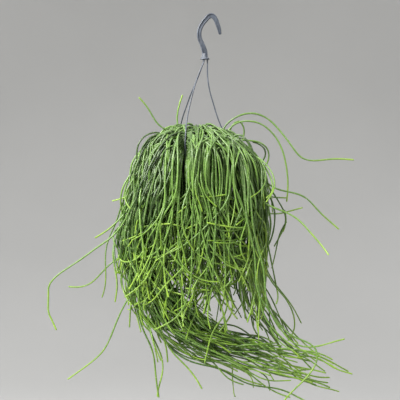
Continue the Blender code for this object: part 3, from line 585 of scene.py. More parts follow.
def build_leg(name, azimuth, way):
    """A leg: a long smooth stretch from the hub, then the collar and the barb on the rim."""
    top = ring_place(HUB_X, LEG_SOCKET_R, azimuth)
    foot = ring_place(POT_X, LEG_RING_R, azimuth)
    curve = catmull_rom([(*top, -72.4), (*top, -79.6), (*top, -81.0), *way, (*foot, RIM_Z + 8.0),
                         (*foot, RIM_Z + 4.0)], 12)
    curve = at(curve, np.linspace(0.0, along(curve)[-1], LEG_ROWS))
    line = np.vstack([curve, [(*foot, RIM_Z + rise) for rise, _ in LEG_FOOT]])
    radii = np.concatenate([np.full(len(curve), LEG_R), [r for _, r in LEG_FOOT]])
    points, walls, ends = tubes(line[None], radii[None], LEG_SIDES)
    return make_piece("rod_" + name.removeprefix("hanger_leg_"), points, [walls, ends], [HANGER],
                      [name], "hanger_plastic", 35)


for leg_name, (leg_azimuth, leg_way) in LEGS.items():
    leg = build_leg(leg_name, leg_azimuth, leg_way)
    print(leg.name, "faces:", len(leg.data.polygons))

# %% [markdown]
# ## The pot
#
# A nursery pot is a tapered shell with a flanged rim that turns down into a lip. The profile runs
# up the outside, over the rim and down the inside, in close pairs of rings where an edge is
# rounded. A shallow step under the rim lets such pots stack. The flange has three holes for the
# legs and the floor six for the water, so the turned shell is cut by Booleans, which are applied
# at once.

# %% Pot
POT_HEIGHT = 106.0
BASE_Z = RIM_Z - POT_HEIGHT
RIM_R = 72.0
POT_TOP_R = 64.5
POT_BASE_R = 49.0
POT_WALL = 1.5
POT_FLOOR = 2.2
POT_SIDES = 96
POT_SHARP = 40
DRAIN_R, DRAIN_RING_R = 3.5, 33.0


def wall_r(z):
    """The outer radius of the pot's wall at a height."""
    return POT_BASE_R + (POT_TOP_R - POT_BASE_R) * (z - BASE_Z) / (RIM_Z - BASE_Z)


def pot_profile():
    """From the middle of the base, round the outside and the rim, to the middle of the floor.

    Each list holds (radius, height) from one corner of the pot: from the base's outer edge, from
    the rim's, from the top of the inner wall and from the floor's outer edge.
    """
    floor = BASE_Z + POT_FLOOR
    step = RIM_Z - 24.0
    inner, foot = POT_TOP_R - POT_WALL, wall_r(floor) - POT_WALL
    base = ((-1.9, 0.0), (-0.9, 0.3), (-0.2, 1.0), (0.1, 2.0))
    rim = ((-2.4, -1.6), (-1.8, -1.9), (-1.6, -2.6), (-1.6, -7.4), (-1.3, -7.9), (-0.7, -8.0),
           (-0.2, -7.8), (0.0, -7.3), (0.0, -1.5), (-0.2, -0.7), (-0.7, -0.15), (-1.5, 0.0))
    mouth = ((1.6, 0.0), (0.7, -0.25), (0.15, -0.9), (0.0, -2.0))
    corner = ((0.3, 2.0), (-0.6, 0.5), (-2.0, 0.0))
    return ((0.2, BASE_Z + 0.5), (38.0, BASE_Z + 0.5), (39.0, BASE_Z + 0.35), (40.0, BASE_Z),
            *((POT_BASE_R + r, BASE_Z + z) for r, z in base),
            *((wall_r(z) - 0.2, z) for z in np.linspace(BASE_Z + 6.0, step - 2.0, 9)),
            (wall_r(step), step - 0.8), (wall_r(step) + 0.35, step),
            (wall_r(RIM_Z - 3.2) + 0.2, RIM_Z - 3.2), (wall_r(RIM_Z) + 0.3, RIM_Z - 2.0),
            (wall_r(RIM_Z) + 1.2, RIM_Z - 1.6), *((RIM_R + r, RIM_Z + z) for r, z in rim),
            *((inner + r, RIM_Z + z) for r, z in mouth),
            *((foot + r, floor + z) for r, z in corner), (0.2, floor))


def cut_holes(piece, holes):
    """Cuts round holes, each (x, y, radius, low z, high z), through a piece, and applies them."""
    tools = bpy.data.collections.new("tools")
    bpy.context.scene.collection.children.link(tools)
    for x, y, radius, low, high in holes:
        points, (walls, ends) = closed_rings(lathe(((radius, low), (radius, high)), 24, x, y))
        mesh = bpy.data.meshes.new("tool")
        mesh.from_pydata((MM * points).tolist(), [], ends.tolist() + walls.tolist())
        tools.objects.link(bpy.data.objects.new("tool", mesh))
    boolean = piece.modifiers.new("holes", "BOOLEAN")
    boolean.operation, boolean.solver = "DIFFERENCE", "EXACT"
    boolean.operand_type, boolean.collection = "COLLECTION", tools
    evaluated = piece.evaluated_get(bpy.context.evaluated_depsgraph_get())
    cut = bpy.data.meshes.new_from_object(evaluated)
    piece.modifiers.clear()
    piece.data = cut
    for tool in list(tools.objects):
        bpy.data.objects.remove(tool, do_unlink=True)
    bpy.data.collections.remove(tools)
    cut.shade_smooth()
    cut.set_sharp_from_angle(angle=math.radians(POT_SHARP))


leg_holes = [(*ring_place(POT_X, LEG_RING_R, azimuth), LEG_R + 0.3, RIM_Z - 4.0, RIM_Z + 2.0)
             for azimuth, _ in LEGS.values()]
drain_holes = [(*ring_place(POT_X, DRAIN_RING_R, 60.0 * i + 30.0), DRAIN_R, BASE_Z - 2.0,
                BASE_Z + 5.0) for i in range(6)]
pot = make_piece("nursery_pot", *closed_rings(lathe(pot_profile(), POT_SIDES, POT_X)), [POT],
                 ["pot"], "pot_plastic", POT_SHARP)
cut_holes(pot, leg_holes + drain_holes)
print("pot faces:", len(pot.data.polygons))

# %% [markdown]
# ## The soil's surface
#
# Seen from above between the stems, the soil is a lumpy disc a finger's width below the rim. Its
# height is a sum of waves of several lengths and directions, which is a cheap way to get a random
# relief. The disc's edge goes down to a tapered block that fills the pot.

# %% Soil
SOIL_Z = RIM_Z - 11.0
SOIL_GAP = 0.4  # between the soil and the pot's wall
SOIL_RINGS = 46
SOIL_SIDES = 120
SOIL_WAVES = ((30.0, 0.55), (14.0, 0.4), (7.0, 0.3), (3.6, 0.2))  # lengths and heights


def build_soil():
    """Rings from the middle out to the wall, lifted by waves, then down the wall to the floor."""
    rng = np.random.default_rng(4)
    low_z = BASE_Z + POT_FLOOR + 0.3
    top_r, low_r = (wall_r(z) - POT_WALL - SOIL_GAP for z in (SOIL_Z, low_z))
    radius = np.concatenate([np.linspace(0.3, top_r, SOIL_RINGS), [top_r, low_r, 0.3]])[:, None]
    turn = np.linspace(0.0, 2 * math.pi, SOIL_SIDES, endpoint=False)
    x, y = radius * np.cos(turn), radius * np.sin(turn)
    relief = np.zeros_like(x)
    for length, size in SOIL_WAVES:
        for _ in range(5):
            heading, phase = rng.uniform(0.0, 2 * math.pi, 2)
            relief += size * 0.45 * np.sin(2 * math.pi * (x * math.cos(heading)
                                           + y * math.sin(heading)) / length + phase)
    z = SOIL_Z - 1.2 + relief
    z[SOIL_RINGS] = SOIL_Z - 4.0
    z[SOIL_RINGS + 1:] = low_z
    rings = np.stack([POT_X + x, y, z], axis=-1)[::-1]
    return make_piece("soil_surface", *closed_rings(rings), [SOIL], ["soil"], "potting_soil", 60)


soil = build_soil()
print("soil faces:", len(soil.data.polygons))

# %% [markdown]
# ## Where the stems go
#
# The plant grows from 21 plugs of rooted cuttings: one in the middle, seven round it and thirteen
# near the wall. The solid model has one spray of stems for each plug. Here the same sums are done
# again with the same random seeds, so every stem of a solid has its fine stem in the same place.
# Then many more follow, to fill the head of hair as full as it grows.
#
# A stem's route has three parts: out of the plug and up, over the rim to where it starts to hang,
# and then down, either in the curtain round the pot, in one of the long streams, or alone.

# %% Measures of the stems' routes
STEM_SEED = 27
STEM_R = 1.95
PLUG_R = 9.0
PLUG_RISE = 4.0
PLUG_RINGS = ((1, 0.0), (7, 24.0), (13, 46.0))
ROOT_SPACING = 2.3
ROOT_Z = SOIL_Z + 0.8
GOLDEN_ANGLE = math.pi * (3.0 - math.sqrt(5.0))
LONGEST_STEP = 84.0
SHARPEST_TURN = 0.72
CURTAIN_PER_PLUG = (6, 6, 4)
CURTAIN_LAYERS = ((0.85, 1.0), (0.45, 0.95), (0.0, 0.5))
CURTAIN_HANG_Z = (-318.0, -334.0)  # where the innermost and the outermost stems start to hang
LONG_SHARE = 0.8
LONG_TIPS, SHORT_TIPS = (-575, -440), (-440, -350)  # how low their tips are
CURTAIN_STEP = 55.0
HANG_R = (92.0, 140.0)
LEAN_SHARE = 0.225
APEX_RISE = (28.0, 74.0)
APEX_SHARE = (0.16, 0.36)
CROWN_FALL = 0.2
DEPTH_SHARE = 0.84
FRONT_SHARE = 0.32
FORKS = 12

STREAMS = {
    "sweep": dict(
        outer=((-161, -324), (-176, -400), (-170, -466), (-144, -533), (-106, -596), (-40, -638),
               (50, -675), (149, -706), (256, -728)),
        inner=((-88, -333), (-98, -409), (-88, -476), (-42, -534), (18, -582), (82, -602),
               (150, -616), (226, -638), (286, -664)),
        depth=-34, half=34, count=20, reach=(0.62, 1.0), front=0.65),
    "drop": dict(
        outer=((-155, -343), (-166, -438), (-147, -523), (-124, -590), (-117, -647), (-119, -712)),
        inner=((-117, -343), (-124, -447), (-102, -533), (-75, -599), (-48, -651), (-22, -700)),
        depth=-62, half=16, count=5, reach=(0.7, 1.0), front=0.6),
    "trail": dict(
        outer=((112, -343), (110, -419), (101, -485), (114, -533), (147, -586), (198, -636),
               (268, -668)),
        inner=((58, -343), (52, -428), (50, -504), (70, -556), (106, -622), (164, -680),
               (240, -718)),
        depth=38, half=24, count=10, reach=(0.62, 1.0), front=0.45),
}

LONE_STEMS = (
    (-12, -30, ((20, -210), (35, -193), (60, -183), (83, -183), (107, -193), (130, -214),
                (155, -242), (168, -263), (183, -271), (225, -267), (267, -265))),
    (4, 22, ((26, -216), (41, -198), (69, -189), (96, -191), (121, -212), (136, -248),
             (142, -286), (143, -347))),
    (30, 44, ((40, -206), (55, -188), (66, -210), (60, -229), (45, -248))),
    (20, 60, ((35, -229), (73, -231), (102, -237), (115, -248), (117, -263), (107, -278),
              (84, -294))),
    (-30, -78, ((60, -252), (88, -264), (107, -286), (115, -311), (107, -330), (94, -336))),
    (-10, -46, ((60, -262), (83, -282), (111, -314), (143, -326), (178, -343), (206, -368),
                (238, -394))),
    (50, 84, ((70, -300), (96, -333), (121, -343), (148, -343))),
    (-50, -96, ((73, -320), (121, -358), (149, -375), (178, -404), (206, -430), (212, -438))),
    (70, 92, ((96, -295), (136, -352), (153, -377), (153, -400), (140, -425), (128, -440))),
    (94, 120, ((73, -356), (111, -371), (149, -375), (191, -366))),
    (10, 20, ((-136, -318), (-155, -337), (-193, -343))),
    (-30, -44, ((-150, -350), (-174, -379), (-202, -404), (-216, -411))),
    (-60, -92, ((-152, -370), (-180, -411), (-221, -434), (-259, -457), (-290, -485),
                (-302, -514), (-302, -536), (-292, -556), (-282, -577))),
    (40, 70, ((-146, -380), (-170, -443), (-202, -480), (-227, -504), (-250, -514),
              (-288, -516))),
    (80, 96, ((-100, -380), (-121, -440), (-128, -480), (-155, -518), (-178, -561),
              (-197, -618), (-212, -651), (-240, -675), (-292, -708))),
    (-22, -30, ((-70, -215), (-92, -203), (-117, -176), (-140, -155))),
    (24, 34, ((-56, -225), (-68, -200), (-64, -168), (-52, -143))),
    (-96, -112, ((70, -420), (96, -533), (140, -590), (187, -603), (235, -590))),
    (92, 104, ((90, -400), (115, -495), (149, -552), (172, -590), (174, -613), (160, -630))),
    (-92, -124, ((84, -440), (104, -533), (146, -590), (172, -596), (187, -613), (149, -675),
                 (121, -708))),
)

# %% [markdown]
# The first part of a route is a low arch, with its top a third of the way out. The last part
# strays from side to side in two slow waves, more towards the tip, as stems do that once grew
# towards the light and now hang.

# %% The parts of a route
def waves(run, rng, spans, weights):
    """A sum of sine waves of the distance for each axis. Their lengths lie in the given spans."""
    lengths = [rng.uniform(*span) for span in spans]
    return sum(weight * np.sin(2 * math.pi * run[:, None] / length + rng.uniform(0, 2 * math.pi, 3))
               for length, weight in zip(lengths, weights))


def wander(path, rng, size):
    """Adds two slow waves to each axis, which grow with the share of the length."""
    run = along(path)
    stray = waves(run, rng, ((170, 300), (70, 130)), (1.0, 0.35))
    return path + stray * np.array([1.0, 1.0, 0.45]) * size * (run / run[-1])[:, None] ** 1.3


def first_part(root, hang, rise, rng, apex_share=APEX_SHARE[1]):
    """Way points from a root over the rim to where the stem starts to hang, highest a third out."""
    root, hang = np.asarray(root, float), np.asarray(hang, float)
    apex_z = RIM_Z + rise
    out = hang[:2] - root[:2]
    share = apex_share + rng.uniform(-0.06, 0.06)
    fall = 0.08 + 0.28 * min(1.0, rise / 60.0)
    return [(*root[:2], ROOT_Z), (*(root[:2] + out * 0.05), SOIL_Z + 12.0),
            (*(root[:2] + share * 0.5 * out), blend((SOIL_Z, apex_z), 0.78)),
            (*(root[:2] + share * out), apex_z),
            (*(root[:2] + (share * 0.45 + 0.55) * out), blend((apex_z, hang[2]), fall)), hang]


def around(r, turn, z):
    """A point of the head of stems, which leans to the left and is flatter front to back."""
    lean = LEAN_SHARE * max(0.0, r - HANG_R[0])
    return np.array([POT_X - lean + r * math.cos(turn), r * math.sin(turn) * DEPTH_SHARE, z])


def curtain_stem(root, azimuth, layer, rng):
    """A stem of the curtain round the pot. The layer is 0 at the rim and 1 outermost."""
    outwards = math.hypot(root[0] - POT_X, root[1]) / PLUG_RINGS[-1][1]
    rise = max(APEX_RISE[0], blend(APEX_RISE, layer ** 0.9) * (1.0 - CROWN_FALL * outwards))
    rise += rng.uniform(-3, 3)
    hang_r = blend(HANG_R, layer) + rng.uniform(-3, 5)
    hang_z = blend(CURTAIN_HANG_Z, layer)
    tip_z = rng.uniform(*(LONG_TIPS if rng.random() < LONG_SHARE else SHORT_TIPS))
    turn = azimuth + rng.uniform(-0.12, 0.12)
    points = first_part(root, around(hang_r, turn, hang_z), rise, rng,
                        blend(APEX_SHARE, min(1.0, outwards)))
    drift = rng.uniform(-0.16, 0.16)
    z = hang_z - 52.0
    while z > tip_z + 20:
        turn += drift * rng.uniform(0.2, 1.0)
        bow = 8.0 * math.sin(math.pi * min(1.0, (hang_z - z) / 190.0))
        points.append(around(hang_r + bow, turn, z))
        z -= CURTAIN_STEP
    curl = rng.uniform(-0.28, 0.28)
    points.append(around(hang_r + rng.uniform(-6, 14), turn + curl, tip_z))
    return wander(catmull_rom(points), rng, 7.0)


# %% [markdown]
# A stream has two edges in the picture's plane. A stem of it follows a line between them, starts
# at the front or the back of the pot, and gathers to the stream's own depth on its way down.

# %% Streams and lone stems
def stream_stem(root_of, stream, across, rng, cross=0.0, reach=None):
    """A stem of a stream: a blend of its two edges, with a depth that eases to the stream's own.

    Cross is how much of the stream's width the stem crosses on its way, and reach the least and
    the most of the stream's length that it has.
    """
    outer, inner = np.asarray(stream["outer"], float), np.asarray(stream["inner"], float)
    line = outer + (inner - outer) * (across + cross * np.linspace(0.0, 1.0, len(outer))[:, None])
    reach = blend(reach or stream["reach"], rng.random())
    line = catmull_rom(np.column_stack([line, np.zeros(len(line))]), 6)
    line = at(line, np.linspace(0.0, along(line)[-1] * reach, len(outer)))
    sideways = line[0][0] - POT_X
    hang_r = rng.uniform(0.9, 1.0) * HANG_R[1]
    face = -1.0 if rng.random() < stream["front"] else 1.0
    deep = face * DEPTH_SHARE * math.sqrt(max(hang_r ** 2 - sideways ** 2, 300.0))
    gathered = stream["depth"] + stream["half"] * rng.uniform(-1, 1)
    share = np.clip(np.linspace(0.0, 1.6, len(line)), 0.0, 1.0)
    depth = blend((deep, gathered), share * share * (3 - 2 * share))
    points = np.column_stack([line[:, 0], depth, line[:, 1]])
    plug, root = root_of(math.atan2(depth[0], sideways), rng.random() < 0.5)
    path = catmull_rom([*first_part(root, points[0], rng.uniform(30, 58), rng), *points[1:]])
    return plug, wander(path, rng, 8.0)


def lone_stem(root_of, near, far, line, rng):
    """A stem seen apart from the others: out of its plug, up to where it is first seen, then on."""
    line = np.asarray(line, float)
    depth = np.linspace(near, far, len(line))
    points = np.column_stack([line[:, 0], depth, line[:, 1]])
    plug, root = root_of(math.atan2(depth[0], line[0][0] - POT_X), True)
    seen_z = line[0][1]
    if seen_z <= RIM_Z - 10.0:
        start = first_part(root, points[0], rng.uniform(35, 60), rng)[:-1]
    else:
        share, z = (0.45, blend((SOIL_Z, seen_z), 0.6)) if seen_z > RIM_Z + 25.0 else (
            0.5, RIM_Z + 26.0)
        start = [(*root, ROOT_Z), (*root, SOIL_Z + 14.0), (*blend((root, points[0][:2]), share), z)]
    return plug, wander(catmull_rom([*start, *points]), rng, 1.5)


# %% [markdown]
# Some stems of the solid model fork half way. Its forks are picked from a thinned list of points,
# so the same thinning is done here, only to find the place where the side stem leaves.

# %% Thinning a path, and the plugs
def thin_out(path):
    """The same path with fewer points, which lie closer together where it bends."""
    path = at(path, np.linspace(0.0, along(path)[-1], max(8, int(along(path)[-1] / 6.0))))
    way = np.diff(path, axis=0)
    length = np.linalg.norm(way, axis=1)
    way /= length[:, None]
    bend = np.arccos(np.clip((way[1:] * way[:-1]).sum(axis=1), -1.0, 1.0))
    bend = np.concatenate([[0.0], bend]) / SHARPEST_TURN
    effort = np.concatenate([[0.0], np.cumsum(length / LONGEST_STEP + bend)])
    count = max(3, int(round(effort[-1])) + 1)
    return at(path, np.interp(np.linspace(0.0, effort[-1], count), effort, along(path)))


def plug_places():
    """The plugs' places on the soil as (x, y), in rings that are turned against each other."""
    rng = np.random.default_rng(STEM_SEED)
    places = []
    for count, radius in PLUG_RINGS:
        start = rng.uniform(0.0, 2 * math.pi)
        for i in range(count):
            a = start + 2 * math.pi * (i + rng.uniform(-0.03, 0.03)) / count
            places.append((POT_X + radius * math.cos(a), radius * math.sin(a)))
    return np.array(places)


PLACES = plug_places()
BEARING = np.arctan2(PLACES[:, 1], PLACES[:, 0] - POT_X)
OUTERMOST = len(PLACES) - PLUG_RINGS[-1][0]
load = np.zeros(len(PLACES))
print("plugs:", len(PLACES))

# %% [markdown]
# A plug hands out its root places in the order of a sunflower's seeds: each a golden angle further
# round than the last and a little further out. A stem that isn't part of the curtain takes the
# least used plug on the side that it leans to.

# %% Root places
def facing(turn):
    """The direction (x, y) of an angle."""
    return np.array([math.cos(turn), math.sin(turn)])


def root_on(plug):
    """The next place on a plug: the golden angle times the number of stems that it already has."""
    turn = GOLDEN_ANGLE * load[plug] + plug
    out = min(ROOT_SPACING * math.sqrt(load[plug] + 0.5), PLUG_R - STEM_R - 1.0)
    load[plug] += 1
    return PLACES[plug] + out * facing(turn)


def root_of(azimuth, outer):
    """A place on the least used plug towards an azimuth, on the outer ring or inside it."""
    apart = np.abs((BEARING - azimuth + math.pi) % (2 * math.pi) - math.pi)
    ring = np.arange(len(PLACES)) >= OUTERMOST
    plug = int(np.argmin(apart + 0.11 * load + np.where(ring == outer, 0.0, 9.0)))
    return plug, root_on(plug)


stems = []


def keep(plug, path, layer=1.0, youth=0.0, thick=1.0, cut=False, stray=3.5):
    """Notes a stem: its plug and route, its layer, which is 0 for the innermost and also paints the
    stem darker as painted shade, its youth at the start, its thickness, if it is cut, and how far
    its small waves stray."""
    stems.append(dict(plug=plug, path=path, layer=layer, youth=youth, thick=thick, cut=cut,
                      stray=stray))


# %% [markdown]
# First come the stems of the solid model, in its own order, so that every random number falls
# where it did there.

# %% The solid model's stems
def curtain_azimuth(plug, count, share):
    """The direction of a curtain stem: its plug's own, spread, and drawn to the front and back."""
    azimuth = BEARING[plug] + 2 * math.pi / count * (share - 0.5)
    return azimuth + FRONT_SHARE * math.sin(2 * azimuth)


def each_plug(*ring_values):
    """Each plug's number, its ring's count, and what each given list has for that ring."""
    plug = 0
    for (count, _), *values in zip(PLUG_RINGS, *ring_values):
        for _ in range(count):
            yield plug, count, *values
            plug += 1


def solid_stems():
    rng = np.random.default_rng(STEM_SEED + 2)
    for near, far, line in LONE_STEMS:
        keep(*lone_stem(root_of, near, far, line, rng))
    for stream in STREAMS.values():
        for i in range(stream["count"]):
            across = (i + rng.uniform(0.2, 0.8)) / stream["count"]
            # The stream stems get a middle layer, which paints them darker than a lone stem:
            # painted shade.
            keep(*stream_stem(root_of, stream, across, rng), layer=0.5)
    for plug, count, per_plug, layers in each_plug(CURTAIN_PER_PLUG, CURTAIN_LAYERS):
        for j in range(per_plug):
            azimuth = curtain_azimuth(plug, count, (j + 0.5) / per_plug)
            layer = blend(layers, rng.random())
            keep(plug, curtain_stem(root_on(plug), azimuth, layer, rng), layer, stray=2.5)
    for parent in rng.choice(len(LONE_STEMS) + 30, FORKS, replace=False):
        fork_like_solid(int(parent) + 8, rng)


def aside(rng, weights, sizes):
    """A random step to the side, with a weight for each axis and a length between two sizes."""
    step = rng.normal(size=3) * np.array(weights)
    return step * (rng.uniform(*sizes) / np.linalg.norm(step))


def fork_like_solid(parent, rng):
    """A side stem that leaves its parent half way and drifts off as a power of the share run."""
    points = thin_out(stems[parent]["path"])
    rest = points[int(len(points) * rng.uniform(0.5, 0.68)):]
    share = np.linspace(0.0, 1.0, len(rest))[:, None]
    branch = rest + aside(rng, (1.0, 0.8, 0.4), (26, 44)) * share ** 0.8
    branch = branch[:max(3, int(len(branch) * rng.uniform(0.6, 0.95)))]
    keep(stems[parent]["plug"], catmull_rom(branch), youth=0.5, thick=0.85)


solid_stems()
print("stems of the solid model:", len(stems))

# %% [markdown]
# Then come the stems that fill the head. Most are loose stems of the curtain. A loose stem has an
# arch of its own, and then swings down with a heading that strays, as if it were walking: each
# step adds a random turn and takes back a part of the heading, so that it always comes back to
# straight down, and near the tip a steady curl is added. Crossing each other at all angles, they
# hide the order in which the stems are planted.

# %% Loose stems
DOME_RISE = 77.0
DOME_BEND = 0.0054  # how fast the dome of the crown falls off from its middle, per millimetre
DOME_X = -32.0  # the middle of the dome, a little left of the pot's axis
TUCKED_IN = 0.1  # how much closer to the pot the stems on the left are where they start to hang
LOOSE_HANG_Z = (-300.0, -328.0)  # where the innermost and the outermost start to hang
APEX_OUT = (0.12, 0.5)  # where the arch is highest, as a share of the way out
LOWEST_ARCH = 16.0  # how high above the rim it is at least
INNER_HEIGHT = (0.35, 0.8)  # how high the innermost pass under the dome, as a share of its height
SWAY = 0.42  # how far the arch may lean to one side, as a share of the way out
OVER_DOME = (0.35, 0.62, 0.84)  # where the way points on the dome lie, between apex and hang
FLARE = (-1.0, 3.6)  # how much further out the stems at the left and the right get with each step
LOOSE_LENGTH = (60.0, 300.0)  # how long a loose stem is from where it starts to hang
LENGTH_BIAS = 0.75  # below 1, more of them are long
WALK_STEP = 22.0
FIRST_HEADING, FIRST_BEND, BEND_STRAY, CURL = 0.45, 0.2, 0.14, 0.26  # spreads, in radians
HEADING_KEPT, BEND_KEPT = 0.88, 0.72  # what is left of them after a step
MOST_HEADING = 1.7  # a little more than a right angle from straight down
CURLED_STEPS = 5  # how many steps the curl at the tip has


def dome_rise(place):
    """How high above the rim the crown reaches over a place (x, y): a parabola of its distance."""
    return DOME_RISE - DOME_BEND * ((place[0] - DOME_X) ** 2 + place[1] ** 2)


def loose_stem(root, azimuth, layer, rng):
    """A stem with an arch under the crown's dome and a random walk of its heading below."""
    hang_r = blend(HANG_R, layer) + rng.uniform(-8, 5)
    hang_z = blend(LOOSE_HANG_Z, layer) + rng.uniform(-16, 16)
    tuck = TUCKED_IN * (1.0 - math.cos(azimuth)) / 2
    flare = rng.uniform(*FLARE) * math.cos(azimuth) ** 2 * layer
    hang = around(hang_r * (1.0 - tuck), azimuth, hang_z)
    out = hang[:2] - root
    share = rng.uniform(*APEX_OUT)
    sway = rng.uniform(-SWAY, SWAY) * np.array([-out[1], out[0]])
    apex = root + share * out + sway
    height = blend((rng.uniform(*INNER_HEIGHT), 1.0), layer)
    apex_z = RIM_Z + max(LOWEST_ARCH, dome_rise(apex) * height)
    points = [(*root, ROOT_Z), (*(root + 0.04 * out), SOIL_Z + 12.0),
              (*(root + 0.5 * share * out + 0.6 * sway), blend((SOIL_Z, apex_z), 0.76)),
              (*apex, apex_z)]
    for part in OVER_DOME:
        place = blend((apex, hang[:2]), part) + 0.4 * sway * math.sin(math.pi * part)
        points.append((*place, RIM_Z + dome_rise(place) * height))
    points.append(hang)
    steps = int(blend(LOOSE_LENGTH, rng.random() ** LENGTH_BIAS) / WALK_STEP)
    heading, turn, r, z = rng.normal(0.0, FIRST_HEADING), azimuth, hang_r, hang_z
    bend, curl = rng.normal(0.0, FIRST_BEND), rng.normal(0.0, CURL)
    for i in range(steps):
        bend = BEND_KEPT * bend + rng.normal(0.0, BEND_STRAY)
        heading = HEADING_KEPT * heading + bend + (curl if i >= steps - CURLED_STEPS else 0.0)
        heading = min(MOST_HEADING, max(-MOST_HEADING, heading))
        turn += WALK_STEP * math.sin(heading) / r
        z -= WALK_STEP * math.cos(heading)
        r += rng.normal(0.0, 2.0) + (flare if i > 0.3 * steps else 0.0)
        points.append(around(r * (1.0 - tuck * max(0.0, 1.0 - (hang_z - z) / 130.0)), turn, z))
    return catmull_rom(points, 8)


# %% [markdown]
# The rest are more stems of the streams, which cross over from edge to edge, side stems that leave
# an older one at a joint, young shoots in the crown, and the stubs of stems that were pruned.

# %% More stems
MORE_PER_PLUG = 2
LOOSE_PER_PLUG = (84, 28, 14)
LOOSE_SPREAD = (3.1, 1.9, 1.0)  # how far from its plug's bearing a loose stem may turn
MORE_IN_STREAM = {"sweep": 72, "drop": 8, "trail": 10}
MORE_REACH = (0.42, 0.88)  # the part of a stream's length that they have
STREAM_BIAS = {"sweep": 0.75, "drop": 1.0, "trail": 1.0}  # below 1, more run near the inner edge
SIDE_STEMS = 190
YOUNG_SHOOTS = 22
STUBS = 34


def side_stem(parent, rng):
    """A side stem: a copy of the parent's way from the joint on, turned off by a growing drift."""
    path = stems[parent]["path"]
    run = along(path)
    start = rng.uniform(0.35, 0.8) * run[-1]
    share = np.linspace(0.0, 1.0, 24)[:, None]
    further = start + share[:, 0] * rng.uniform(60, 190)
    follow = at(path, np.minimum(further, run[-1] - 1.0))
    follow[:, 2] -= np.maximum(further - run[-1] + 1.0, 0.0)
    return follow + aside(rng, (1.0, 0.8, 0.3), (12, 38)) * share ** 0.75, start / run[-1]


def young_shoot(root, azimuth, rng):
    """A short shoot: up out of the plug, leaning out, with a soft bow at its tip."""
    lean = rng.uniform(6, 36)
    tip = lean * facing(azimuth + rng.uniform(-0.5, 0.5))
    out = lean * facing(azimuth)
    height = (dome_rise(root + out) + 9.0) * rng.uniform(0.6, 1.0)
    bow = root + 0.45 * out
    return catmull_rom([(*root, ROOT_Z), (*(root + 0.1 * out), ROOT_Z + 0.4 * height),
                        (*bow, ROOT_Z + 0.85 * height), (*(bow + 0.5 * tip), ROOT_Z + height),
                        (*(bow + 0.9 * tip), ROOT_Z + 0.82 * height)])


def more_stems():
    rng = np.random.default_rng(77)
    for name, count in MORE_IN_STREAM.items():
        for i in range(count):
            across = ((i + rng.uniform(0.0, 1.0)) / count) ** STREAM_BIAS[name]
            cross = rng.uniform(-0.7, 0.7) * (1.0 - abs(2 * across - 1.0)) - 0.4 * (across - 0.5)
            # Their layer, from 0 to 0.5, paints them darker: painted shade.
            keep(*stream_stem(root_of, STREAMS[name], across, rng, cross, MORE_REACH),
                 rng.uniform(0.0, 0.5), thick=rng.uniform(0.82, 1.02), stray=10.0)
    for plug, count, loose, spread, layers in each_plug(
            LOOSE_PER_PLUG, LOOSE_SPREAD, CURTAIN_LAYERS):
        for _ in range(MORE_PER_PLUG):
            layer = blend(layers, rng.random())
            azimuth = curtain_azimuth(plug, count, rng.random())
            path = curtain_stem(root_on(plug), azimuth, layer, rng)
            keep(plug, path, layer, thick=rng.uniform(0.75, 1.05), stray=6.0)
        for _ in range(loose):
            layer = rng.random()
            azimuth = BEARING[plug] + spread * rng.uniform(-1, 1)
            azimuth += FRONT_SHARE * math.sin(2 * azimuth)
            path = loose_stem(root_on(plug), azimuth, layer, rng)
            keep(plug, path, layer, thick=rng.uniform(0.78, 1.05), stray=2.0)
    grown = len(stems)
    for _ in range(SIDE_STEMS):
        parent = int(rng.integers(0, grown))
        path, youth = side_stem(parent, rng)
        keep(stems[parent]["plug"], path, stems[parent]["layer"], youth,
             thick=rng.uniform(0.7, 0.85))
    for i in range(YOUNG_SHOOTS + STUBS):
        plug = int(rng.integers(0, len(PLACES)))
        azimuth = BEARING[plug] + rng.uniform(-1.2, 1.2)
        path = young_shoot(root_on(plug), azimuth, rng)
        if i < YOUNG_SHOOTS:
            keep(plug, path, youth=0.35, thick=0.85, stray=1.0)
        else:
            path = at(path, np.linspace(0.0, rng.uniform(0.35, 0.9) * along(path)[-1], 30))
            keep(plug, path, thick=1.15, cut=True, stray=1.0)


more_stems()
print("all stems:", len(stems), "longest in mm:",
      round(max(along(stem["path"])[-1] for stem in stems)))

# %% [markdown]
# No stem may run through the pot. Every path is sampled closely, and a point that falls inside the
# pot's wall, rim or soil is moved out by the shortest way. A few rounds of averaging with the
# neighbours in between keep the bends soft. In front, the stems dip behind the hanger's front leg,
# which lies on them down to the rim.

# %% Small waves, and keeping clear of the pot and the front leg
CLEAR = 1.6  # between a stem's middle line and the pot
PARTING = 9.0  # how far to each side of the front leg the stems go behind it
BEHIND_LEG = 4.0
CROWN_TOP = -120.0  # no stem is parted above this height
PATH_STEP = 5.0
SOFTENING = 12  # rounds
BOX_MARGIN = 4.0  # the stems' middle lines stay this far inside the solid model's box
LOW, HIGH = (np.array(corner) / MM for corner in solid_box)


def rippled(path, rng, size):
    """Adds two short waves to each axis, which start at nothing at the root."""
    run = along(path)
    grow = np.clip(run / 90.0, 0.0, 1.0)[:, None] ** 1.5
    return path + size * grow * waves(run, rng, ((130, 240), (70, 110)), (1.0, 0.25))


